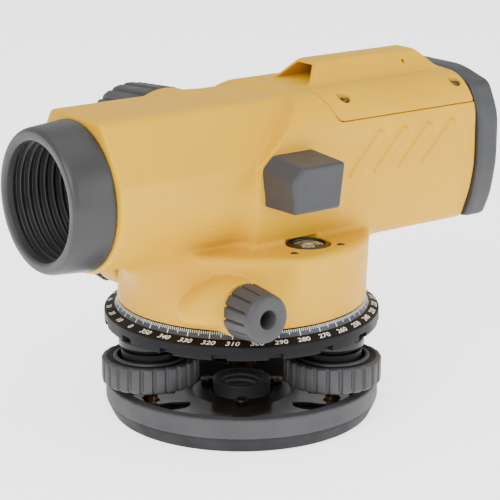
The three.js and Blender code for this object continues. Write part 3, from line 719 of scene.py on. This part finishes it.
BASE_R = low_high("base_plate")[1].x
BASE_TOP = low_high("base_plate")[1].z
BASE_FLOOR, BOSS_TOP, BOSS_R = 5.5, 12.0, 11.6
SOCKET_R, SOCKET_PITCH = 7.94, 2.309
CHAMFER_TOP = 6.3
DISH_OUTLINE = outline_field(rounded([
    (2, 0, 0), (BASE_R - 3, 0, 1.0), (BASE_R, CHAMFER_TOP, 1.2), (BASE_R, BASE_TOP, 1.1),
    (50.5, BASE_TOP, 1.1), (50.0, BASE_FLOOR, 1.5), (BOSS_R, BASE_FLOOR, 1.2), (BOSS_R, BOSS_TOP, 0.7),
    (2, BOSS_TOP, 0)]))
POCKET_R, POCKET_FLOOR = 15.5, 3.5


def base_plate(x, y, z):
    """The dished plate: threaded centre boss, and a pocket and a ball seat under each foot screw."""
    rho, angle = np.hypot(x, y), np.arctan2(y, x)
    shape = DISH_OUTLINE(rho, z)
    thread = 0.42 * np.cos(2 * math.pi * z / SOCKET_PITCH - angle)
    lead = 1.0 * step_up(BOSS_TOP - 1.2, BOSS_TOP, z)
    shape = carve(shape, rho - SOCKET_R - thread - lead, 0.3)
    for place in FOOT_SCREWS:
        pocket = smooth_max(rod_field(x - place.x, y - place.y, POCKET_R), rho - 50.1, 1)
        shape = carve(shape, smooth_max(pocket, POCKET_FLOOR - z, 1.2), 0.8)
        seat = np.sqrt((x - place.x) ** 2 + (y - place.y) ** 2 + (z - 6.1) ** 2) - 3.9
        shape = carve(shape, seat, 0.3)
    return shape


LEAF_LOW, LEAF_HIGH = low_high("spring_plate")
LEAF_FLAT_R, LEAF_R, LEAF_THICK = 20.0, 49.0, 1.0


def leaf_spring(x, y, z):
    """A thin sheet that rises from its flat middle, cut out round the foot screws' necks."""
    rho = np.hypot(x, y)
    rise = np.clip((rho - LEAF_FLAT_R) / (LEAF_R - LEAF_FLAT_R), 0, 1.1)
    middle = LEAF_LOW.z + LEAF_THICK / 2 + (LEAF_HIGH.z - LEAF_LOW.z - LEAF_THICK) * rise
    sheet = np.abs(z - middle) - LEAF_THICK / 2
    plan = rho - LEAF_R + 0 * z
    for place in FOOT_SCREWS:
        plan = carve(plan, rod_field(x - place.x, y - place.y, POCKET_R), 1.0)
    for angle, place in zip(FOOT_ANGLES, FOOT_SCREWS):
        along, aside = along_and_aside(x, y, angle)
        arm = np.maximum(np.maximum(np.abs(aside) - 6, 19 - along), along - 41.5)
        plan = smooth_min(plan, smooth_min(arm, rod_field(x - place.x, y - place.y, 7.5), 2), 1.5)
    plan = carve(plan, rho - BOSS_R - 0.6, 0.3)
    for place in FOOT_SCREWS:
        plan = carve(plan, rod_field(x - place.x, y - place.y, 3.3), 0.3)
    return smooth_max(sheet, plan, 0.5)


# -------------------- castings and covers

def solid_piece(node, field, margin, material, body, slot, pitch=PITCH):
    """A field's solid in place of a CAD node."""
    low, high = low_high(node)
    mesh = solid_mesh(f"{node}_look", field, low - Vector(margin), high + Vector(margin), pitch)
    return add_piece(f"{node}_look", mesh, material, body, slot, node)


around = (1.5, 1.5, 1.5)
solid_piece("main_housing", casting, (1.5, 3.5, 1.5), YELLOW, "telescope", "casting", PITCH * 1.2)
solid_piece("top_cover", cover, (4.5, 2.0, 1.5), YELLOW, "telescope", "casting")
solid_piece("rear_cover", rear_cap, around, GREY, "telescope", "grey_plastic")
solid_piece("mirror_housing", mirror_hood, around, GREY, "telescope", "grey_plastic", PITCH * 0.7)
solid_piece("tribrach_body", tribrach, around, BLACK_GLOSS_WARM_REFLECTION, "tribrach", "black_paint")
plate_piece = solid_piece("base_plate", base_plate, around, [BASE, BASE_LOW_BAND], "base", "base_paint")
# The lower chamfer band takes the darker colour.
for face in plate_piece.data.polygons:
    outside = math.hypot(face.center.x, face.center.y) > (BASE_R - 3.2) * MM
    face.material_index = 1 if outside and face.center.z < (CHAMFER_TOP + 0.1) * MM else 0
solid_piece("spring_plate", leaf_spring, around, SPRING_WARM_REFLECTION, "base", "spring_steel", PITCH * 0.8)


# -------------------- levelling screws

def slotted_head(name, radius, low, high, slot_width):
    """A round screw head with a straight slot."""
    def head(x, y, z):
        slab = np.abs(z - (low + high) / 2) - (high - low) / 2
        solid = smooth_max(np.hypot(x, y) - radius, slab, 0.5)
        return carve(solid, np.maximum(np.abs(x) - slot_width / 2, high - 0.7 - z) + 0 * y, 0.1)
    reach = radius + 0.5
    return solid_mesh(name, head, (-reach, -reach, low - 0.5), (reach, reach, high + 0.5), 0.12, 4000)


def screw_piece(name, node, turn, material, body, *shape):
    """A slotted head in place of a CAD screw, shaped by (radius, low, high, slot width)."""
    place = centre_of(node)
    mesh = placed(slotted_head(name, *shape), at=(place.x, place.y, 0), turn=turn)
    add_piece(name, mesh, material, body, "steel", node)


for i in (1, 2, 3):
    screw_piece(f"leaf_screw_{i}", f"spring_plate_screw_{i}", 1.1 * i, DARK_SCREW, "base",
                2.6, 7.1, 8.7, 0.7)

KNOB_LOW, KNOB_HIGH = low_high("foot_screw_knob_a")
BUSH_R = 11.5
GRIP_R, RECESS_R = 19.24, BUSH_R + 1.3
HALF_THREAD = 0.375
for letter, place, angle in zip("abc", FOOT_SCREWS, FOOT_ANGLES):
    body = f"foot_screw_{letter}"
    at = (place.x, place.y, 0)
    b, t = KNOB_LOW.z, KNOB_HIGH.z
    profile = [
        (4.4, b + 0.2, 0), (4.8, b, 0), (10, b, 0), (GRIP_R - 2.6, b, 0.2),
        (GRIP_R - 1.2, b + 0.25, 0.7), (GRIP_R - 0.35, b + 0.9, 1), (GRIP_R, b + 1.8, 1),
        (GRIP_R, (b + t) / 2, 1), (GRIP_R, t - 1.3, 1), (GRIP_R - 0.3, t - 0.9, 1),
        (GRIP_R - 1.0, t - 0.55, 0.9), (GRIP_R - 2.0, t - 0.5, 0.5), (RECESS_R + 1.9, t - 0.7, 0),
        (RECESS_R + 1.7, t - 0.2, 0), (RECESS_R + 1.4, t, 0), (RECESS_R + 0.4, t, 0),
        (RECESS_R, t - 0.5, 0), (RECESS_R, b + 2.0, 0), (RECESS_R - 0.5, b + 1.6, 0), (4.4, b + 1.6, 0),
    ]
    grip = ribbed(f"{body}_grip", profile, 24, 1.0, land=0.62, per_rib=16)
    mesh = placed(grip, at=at, turn=angle)
    for face in mesh.polygons:
        radius = math.hypot(face.center.x / MM - place.x, face.center.y / MM - place.y)
        # Painted shade: the top faces and the recess take the dark shade material.
        shaded_top = face.normal.z > 0.7 and RECESS_R + 1.8 < radius < GRIP_R - 1.9
        face.material_index = 1 if shaded_top or radius < RECESS_R + 0.2 else 0
    add_piece(f"{body}_grip", mesh, [KNOB, KNOB_TOP_SHADE], body, "knob_plastic",
              f"foot_screw_knob_{letter}", smooth=38)

    shaft = [(0, 2.5), (1.6, 2.9), (2.9, 4.0), (3.55, 5.6), (3.5, 7.0), (2.7, 8.6), (2.7, 12.2),
             (3.4, 12.6)]
    shaft += [(4.0 - 0.3 * (k % 2), 13.4 + HALF_THREAD * k) for k in range(52)]
    shaft += [(3.4, 34.0), (0, 34.2)]
    mesh = placed(axis_lathe(f"{body}_spindle", shaft, 48, 0.12, 2), at=at, turn=angle)
    add_piece(f"{body}_spindle", mesh, BRASS, body, "brass", f"foot_screw_spindle_{letter}",
              smooth=35)

    bore = [(4.85 + 0.3 * (k % 2), 36.3 - HALF_THREAD * k) for k in range(30)]
    sleeve = [(5.2, 24), (BUSH_R, 24, 0.6), (BUSH_R, 32, 0.3), (9.6, 32, 0.2), (9.6, 37.1, 0.5),
              (5.4, 37.1, 0.5)]
    mesh = placed(lathe(f"bush_{letter}", sleeve + bore, 96, 0.1, 2), at=at)
    owner = "tribrach" if letter == "a" else "screw_bushes"
    add_piece(f"bush_{letter}", mesh, CIRCLE, owner, "black_paint", f"foot_screw_bush_{letter}",
              smooth=35)


# -------------------- horizontal circle

RIM_TOP, BAND_R, BAND_TOP, TICK_R = 43.4, 51.0, 45.0, 49.6
NOTCHES, NOTCH_HALF_WIDTH, NOTCH_DEPTH, NOTCH_TOP = 16, 2.9, 2.4, 40.1


def ring_outline(depth):
    """The ring's section, with its rim cut back by a depth below the notches' top."""
    low, high = RING_LOW.z, RING_HIGH.z
    return rounded([
        (20.3, low, 0.3), (RING_R - 0.3 - depth, low, 0.5), (RING_R - depth, low + 0.9, 0.4),
        (RING_R - depth, NOTCH_TOP, 0.05), (RING_R, NOTCH_TOP + 0.02, 0.05),
        (RING_R, RIM_TOP - 0.35, 0.25), (RING_R - 0.4, RIM_TOP, 0.2), (BAND_R, BAND_TOP, 0.15),
        (TICK_R, high, 0.25), (TICK_R - 3, high, 0.3), (TICK_R - 4, 41.5, 0.3), (20.3, 41.5, 0.3)])


stations = []
notch_half = NOTCH_HALF_WIDTH / RING_R
span = 2 * math.pi / NOTCHES
step_angle = 0.0006
for i in range(NOTCHES):
    middle = 2 * math.pi * i / NOTCHES
    stations += [(middle + notch_half * (k / 4 - 1), ring_outline(NOTCH_DEPTH)) for k in range(9)]
    edge = middle + notch_half + step_angle
    rest = span - 2 * (notch_half + step_angle)
    stations += [(edge + rest * k / 24, ring_outline(0)) for k in range(25)]
ring_mesh = swept("circle_ring_look", stations)
add_piece("circle_ring_look", ring_mesh, [CIRCLE, NUMBER_BAND, TICK_BAND], "circle", "circle_black",
          "circle_ring", smooth=30)
for face in ring_mesh.polygons:
    radius, height = math.hypot(face.center.x, face.center.y) / MM, face.center.z / MM
    if RIM_TOP + 0.02 < height < BAND_TOP - 0.03 and radius > BAND_R:
        face.material_index = 1
    elif height >= BAND_TOP - 0.03 and radius > TICK_R - 0.05:
        face.material_index = 2


def on_cone(r0, z0, r1, z1):
    """Places (angle, distance up the slope, height off it) on the cone from (r0, z0) to (r1, z1)."""
    length = math.hypot(r1 - r0, z1 - z0)
    ur, uz = (r1 - r0) / length, (z1 - z0) / length

    def place(angle, up, off):
        radius = r0 + ur * up + uz * off
        return radius * math.cos(angle), radius * math.sin(angle), z0 + uz * up - ur * off
    return place


number_band = on_cone(RING_R, RIM_TOP, BAND_R, BAND_TOP)
tick_band = on_cone(BAND_R, BAND_TOP, TICK_R, RING_HIGH.z)


def label_mesh(text):
    """A thin solid of a number, one unit tall, standing on its middle."""
    curve = bpy.data.curves.new("label", "FONT")
    curve.body = text
    curve.shear = 0.22
    curve.offset = 0.010
    curve.extrude = 0.02
    curve.resolution_u = 5
    curve.align_x = "CENTER"
    holder = bpy.data.objects.new("label", curve)
    bpy.context.scene.collection.objects.link(holder)
    graph = bpy.context.evaluated_depsgraph_get()
    mesh = bpy.data.meshes.new_from_object(holder.evaluated_get(graph))
    bpy.data.objects.remove(holder)
    return mesh


DIGIT_HEIGHT, DIGIT_WIDEN, DIGIT_FOOT = 2.3, 1.05, 1.05
points, faces = [], []
for value in range(0, 360, 10):
    label = label_mesh(str(value))
    centre = math.radians(180 - value)
    top = max(v.co.y for v in label.vertices)
    first = len(points)
    for v in label.vertices:
        u, up = v.co.x / top * DIGIT_HEIGHT * DIGIT_WIDEN, v.co.y / top * DIGIT_HEIGHT
        points.append(number_band(centre + u / BAND_R, DIGIT_FOOT + up, 0.03 + v.co.z))
    faces += [tuple(first + index for index in p.vertices) for p in label.polygons]
numerals = outward(mesh_from("circle_numerals", points, faces))
add_piece("circle_numerals", numerals, WHITE_MARK, "circle", "circle_black")

TICK_END = 2.82
points, faces = [], []
for degree in range(360):
    length = 2.75 if degree % 10 == 0 else 1.9 if degree % 5 == 0 else 1.1
    half = (0.15 if degree % 5 == 0 else 0.11) / TICK_R
    centre = math.radians(degree)
    first = len(points)
    points += [tick_band(centre + side * half, up, off)
               for off in (-0.03, 0.04) for up in (TICK_END - length, TICK_END) for side in (-1, 1)]
    quads = [(4, 5, 7, 6), (0, 2, 3, 1), (0, 1, 5, 4), (2, 6, 7, 3), (0, 4, 6, 2), (1, 3, 7, 5)]
    faces += [tuple(first + k for k in quad) for quad in quads]
ticks = outward(mesh_from("circle_ticks", points, faces))
add_piece("circle_ticks", ticks, WHITE_MARK, "circle", "circle_black")


# -------------------- fine-motion knobs

FLUTES = 13
for name, side in (("near", -1), ("far", 1)):
    profile = [
        (3.5, 45.2, 0), (3.8, 45, 0), (9.2, 45, 0.2), (10.1, 45.25, 0.7), (10.6, 46.0, 1),
        (10.4, 48, 1), (10.1, 51.5, 1), (9.75, 55.0, 1), (9.6, 56.4, 0.9), (9.5, 57.4, 0.35),
        (9.4, 58.2, 0), (9.1, 59.1, 0), (8.4, 59.8, 0), (7.6, 60.0, 0), (4.3, 60.0, 0),
        (3.75, 59.8, 0), (3.5, 59.3, 0), (3.5, 52.4, 0), (3.3, 52, 0), (1.2, 52, 0), (0.6, 51.8, 0),
        (0.6, 51.0, 0), (2.6, 50.6, 0), (3.3, 50.2, 0),
    ]
    grip = ribbed(f"fine_knob_{name}", profile, FLUTES, 0.95, land=0.72, per_rib=24, soft=0.6)
    grip = placed(grip, turn=0.1)
    if side < 0:
        grip.transform(Matrix.Rotation(math.pi, 4, "X"))
    grip = placed(grip, "y", (TANGENT.x, 0, TANGENT.z))
    add_piece(f"fine_knob_{name}", grip, KNOB, "tangent_screw", "knob_plastic",
              f"tangent_knob_{name}", smooth=38)


# -------------------- objective

SIGHT_LINE = (0, 0, SIGHT_Z)
MOUTH_R, LIP_R, ROOT_R, SPIGOT_R = 22.4, 27.6, HOOD_HIGH.z - SIGHT_Z, 25.7
outline = [
    (MOUTH_R + 0.4, HOOD_LOW.x + 0.5, 0.4), (LIP_R - 3.4, HOOD_LOW.x, 0.8),
    (LIP_R - 0.9, HOOD_LOW.x, 1.2), (LIP_R, HOOD_LOW.x + 1.8, 1.2), (ROOT_R, FRONT_X - 0.35, 0.3),
    (SPIGOT_R, FRONT_X - 0.3, 0.1), (SPIGOT_R, HOOD_HIGH.x, 0.4), (MOUTH_R + 0.6, HOOD_HIGH.x, 0.3)]
RIB_PITCH, RIB_DEPTH = 3.5, 1.9
place = HOOD_HIGH.x - RIB_PITCH / 2
while place > HOOD_LOW.x + RIB_PITCH:
    outline += [(MOUTH_R + RIB_DEPTH, place + 1.0, 0.3), (MOUTH_R + RIB_DEPTH, place - 0.6, 0.3),
                (MOUTH_R, place - 1.3, 0.2), (MOUTH_R, place - 1.7, 0.2)]
    place -= RIB_PITCH
hood_mesh = lathe("objective_hood_look", outline, 192, 0.3, 4)
# Painted shade: the valley faces between the inner ribs take the darker material.
shaded_valleys = [MOUTH_R + 0.25 < math.hypot(face.center.x, face.center.y) / MM < MOUTH_R + 2.2
               for face in hood_mesh.polygons]
hood_mesh = placed(hood_mesh, "x", SIGHT_LINE)
add_piece("objective_hood_look", hood_mesh, [HOOD, HOOD_VALLEY_SHADE], "telescope", "grey_plastic",
          "objective_hood", smooth=30)
hood_mesh.polygons.foreach_set("material_index", [int(inner) for inner in shaded_valleys])

cell = [(19, -65, 0.5), (23, -65, 0.4), (23.4, -64.4, 0.2), (25.5, -64.4, 0.4), (25.5, -50, 0.4),
        (20.4, -50, 0.3), (20.4, -52.3, 0.1), (21.3, -52.3, 0.1), (21.3, -62, 0.1), (19, -62, 0.3)]
cell_mesh = placed(lathe("objective_cell_look", cell, 128, 0.3), "x", SIGHT_LINE)
add_piece("objective_cell_look", cell_mesh, BLACK_ANODISED, "telescope", "black_paint",
          "objective_cell", smooth=30)


def lens_outline(radius, x0, x1, front_sag, rear_sag):
    """Half outline of a lens with ground bevels, from the front pole to the rear pole."""
    shares = [k / 10 for k in range(11)]
    front = [(radius * s, x0 - front_sag * (1 - s * s), 0) for s in shares]
    rear = [(radius * s, x1 + rear_sag * (1 - s * s), 0) for s in reversed(shares)]
    front[-1], rear[0] = (radius, front[-1][1], 0.25), (radius, rear[0][1], 0.25)
    return front + rear


for node, outline in (("objective_lens_front", (21, -61, -57.6, 0.7, 0)),
                      ("objective_lens_rear", (21, -57.2, -54, 0, -0.6)),
                      ("focus_lens", (11.1, -24, -21.5, -0.5, -0.5)),
                      ("eyepiece_lens", (8, 112, 115.5, 0.5, 0.5))):
    mesh = placed(axis_lathe(f"{node}_look", lens_outline(*outline), 96), "x", SIGHT_LINE)
    owner = {"focus_lens": "focus_carriage", "eyepiece_lens": "eyepiece"}.get(node, "telescope")
    add_piece(f"{node}_look", mesh, LENS, owner, "glass", node, smooth=40)


# -------------------- focusing knob

profile = [
    (3.0, 28.4, 0), (3.3, 28, 0), (12, 28, 0), (21.6, 28, 0.2), (22.8, 28.2, 0.7), (23.4, 28.8, 1),
    (23.5, 29.6, 1), (23.1, 35, 1), (22.6, 42, 1), (22.1, 49, 1), (21.8, 52.4, 1), (21.5, 53.4, 0.9),
    (20.9, 54.3, 0.6), (20.1, 54.85, 0.25), (19.3, 55, 0), (17.4, 55, 0), (16.6, 54.8, 0),
    (16.1, 54.3, 0), (12, 54.1, 0), (5, 54.1, 0), (0.6, 54.1, 0), (0.6, 49.2, 0), (2.8, 49, 0),
    (2.9, 48.5, 0),
]
grip = ribbed("focus_grip", profile, 24, 1.25, land=0.55, per_rib=20, soft=0.7)
grip = placed(grip, "y", (FOCUS.x, 0, FOCUS.z))
add_piece("focus_grip", grip, KNOB, "focus_drive", "knob_plastic", "focus_knob", smooth=38)


# -------------------- circular level

def level_piece(name, outline, segments, radius, material, slot, *replaced, turned=axis_lathe,
                smooth=None):
    """A turned piece of the level, on the telescope."""
    mesh = placed(turned(name, outline, segments, radius), at=(BUBBLE.x, BUBBLE.y, 0))
    add_piece(name, mesh, material, "telescope", slot, *replaced, smooth=smooth)


level_piece("level_ring", [(0, 67), (7.9, 67, 0.4), (8.25, 67.4, 0.2), (8.25, 74.7, 0.5),
                           (7.6, 75.25, 0.4), (6.9, 75.2, 0.3), (6.6, 74.8, 0.2), (6.6, 70.2, 0.2),
                           (0, 70.0)],
            96, 0.2, BLACK_ANODISED, "black_paint", "level_vial_housing", smooth=35)
level_piece("level_glass", [(0, 73.6), (6.3, 73.6, 0.2), (6.3, 74.5, 0.3), (3.4, 74.9, 1.5),
                            (0, 75.1)],
            96, 0.3, GLASS, "glass", "level_vial", smooth=50)
level_piece("level_face", [(0, 70.3), (6.3, 70.3, 0.1), (6.3, 73.3, 0.1), (0, 73.3)],
            64, 0.1, VIAL_FACE, "glass")
level_piece("level_target", [(2.9, 73.25), (3.3, 73.25), (3.3, 73.4), (2.9, 73.4)],
            64, 0.02, BLACK_ANODISED, "glass", turned=lathe)
level_piece("level_bubble", [(0, 73.9), (1.4, 73.95, 0.3), (2.2, 74.15, 0.3), (1.6, 74.4, 0.3),
                             (0, 74.5)],
            48, 0.4, VIAL_FACE, "glass", smooth=60)
for i in (1, 2):
    screw_piece(f"level_screw_{i}", f"level_adjusting_screw_{i}", i - 0.3, BLACK_ANODISED, "telescope",
                1.4, 68.5, 75.1, 0.45)


# -------------------- eyepiece and small parts

EYEPIECE = {
    "eyepiece_mount": (
        [(11.3, 86, 0.3), (15, 86, 0.4), (15, 101, 0.4), (13, 101, 0.2), (13, 103.4, 0.2),
         (12.6, 103.8, 0.2), (12.6, 104.6, 0.2), (13, 105, 0.2), (13, 107.2, 0.5),
         (11.3, 107.2, 0.3)],
        BLACK_ANODISED, "telescope", "black_paint"),
    "eyepiece_tube": (
        [(8.3, 89, 0.3), (11, 89, 0.4), (11, 118.2, 0.4), (8.3, 118.2, 0.3), (8.3, 117, 0.1),
         (8.6, 116.4, 0.1), (8.6, 91, 0.1)],
        BLACK_ANODISED, "eyepiece", "black_paint"),
    "eye_cup": (
        [(11.3, 114.6, 0.2), (13.4, 114.6, 0.5), (13.4, 116.4, 0.2), (13.0, 116.8, 0.2),
         (13.0, 117.4, 0.2), (13.4, 117.8, 0.2), (13.4, 119.6, 0.8), (12.2, 121.6, 0.9),
         (10.4, 121.6, 0.8), (9, 119.6, 0.6), (9, 118.6, 0.2), (11.3, 118.6, 0.1)],
        RUBBER, "diopter_ring", "rubber"),
}
for node, (outline, material, owner, slot) in EYEPIECE.items():
    mesh = placed(lathe(f"{node}_look", outline, 128, 0.2), "x", SIGHT_LINE)
    add_piece(f"{node}_look", mesh, material, owner, slot, node, smooth=32)

profile = [
    (11.3, 108.8, 0), (11.5, 108.6, 0), (14.2, 108.6, 0.2), (15.1, 108.9, 0.8), (15.5, 109.5, 1),
    (15.5, 111.4, 1), (15.5, 113.3, 1), (15.1, 113.9, 0.8), (14.2, 114.2, 0.2), (11.5, 114.2, 0),
    (11.3, 114.0, 0),
]
grip = placed(ribbed("diopter_grip", profile, 36, 0.7, land=0.5, per_rib=10), "x", SIGHT_LINE)
add_piece("diopter_grip", grip, KNOB, "diopter_ring", "knob_plastic", "diopter_ring", smooth=38)

for i in (1, 2, 3, 4):
    screw_piece(f"cover_screw_{i}_look", f"cover_screw_{i}", 0.9 * i - 0.4, DARK_SCREW, "telescope",
                2.0, 126.3, 127.8, 0.55)


# -------------------- inner parts kept from the CAD

KEPT = {
    BRASS: ["worm_wheel", "tangent_bush_near", "tangent_bush_far", "focus_bush", "focus_carriage",
            "compensator_pendulum"],
    STEEL: ["tangent_shaft", "vertical_spindle", "focus_shaft", "suspension_tape_near",
            "suspension_tape_far", "damping_magnet"],
    ALUMINIUM: ["focus_guide_tube", "compensator_frame"],
    GLASS: ["pendulum_prism", "fixed_prism", "reticle_glass"],
    BLACK_ANODISED: ["reticle_cell"],
    MIRROR: ["bubble_mirror"],
}
for material, names in KEPT.items():
    for name in names:
        nodes[name].data.materials.clear()
        nodes[name].data.materials.append(material)


# -------------------- floor, light and camera

FLOOR = 3000
floor_mesh = mesh_from("floor", [(-FLOOR, -FLOOR, 0), (FLOOR, -FLOOR, 0), (FLOOR, FLOOR, 0),
                                 (-FLOOR, FLOOR, 0)], [(0, 1, 2, 3)])
PAPER = finish_material("floor_paper", (0.93, 0.93, 0.93), (0.91, 0.91, 0.91), 0.8,
                        grain=(400, 1e-5))
glow = PAPER.node_tree.nodes["Principled BSDF"]
glow.inputs["Emission Color"].default_value = (1, 1, 1, 1)
glow.inputs["Emission Strength"].default_value = 1.8
floor_mesh.materials.append(PAPER)
floor = bpy.data.objects.new("floor", floor_mesh)
bpy.context.scene.collection.objects.link(floor)

world = bpy.data.worlds.new("studio")
bpy.context.scene.world = world
world.use_nodes = True
world.node_tree.nodes["Background"].inputs["Color"].default_value = (1.0, 1.0, 1.0, 1)
world.node_tree.nodes["Background"].inputs["Strength"].default_value = 1.0


def area_light(name, place, target, width, height, watts):
    lamp = bpy.data.lights.new(name, "AREA")
    lamp.shape = "RECTANGLE"
    lamp.size, lamp.size_y, lamp.energy = width, height, watts
    holder = bpy.data.objects.new(name, lamp)
    bpy.context.scene.collection.objects.link(holder)
    holder.location = place
    holder.rotation_euler = (Vector(target) - Vector(place)).to_track_quat("-Z", "Y").to_euler()


middle = (0, 0, 0.08)
area_light("key", (-0.75, -0.55, 0.75), middle, 0.7, 0.7, 13)
area_light("overhead", (0.1, 0.0, 1.1), middle, 0.9, 0.9, 3)
area_light("fill", (0.6, -0.9, 0.45), middle, 0.7, 0.6, 6)

eye = Vector((-0.430757, -0.590096, 0.274162))
right = Vector((0.80495, -0.59335, 0.0))
up = Vector((0.16279, 0.22085, 0.96163))
back = right.cross(up)
optics = bpy.data.cameras.new("camera")
optics.lens, optics.sensor_width = 136.79, 36.0
optics.clip_start, optics.clip_end = 0.01, 20
camera = bpy.data.objects.new("camera", optics)
bpy.context.scene.collection.objects.link(camera)
camera.matrix_world = Matrix.Translation(eye) @ Matrix((right, up, back)).transposed().to_4x4()
bpy.context.scene.camera = camera
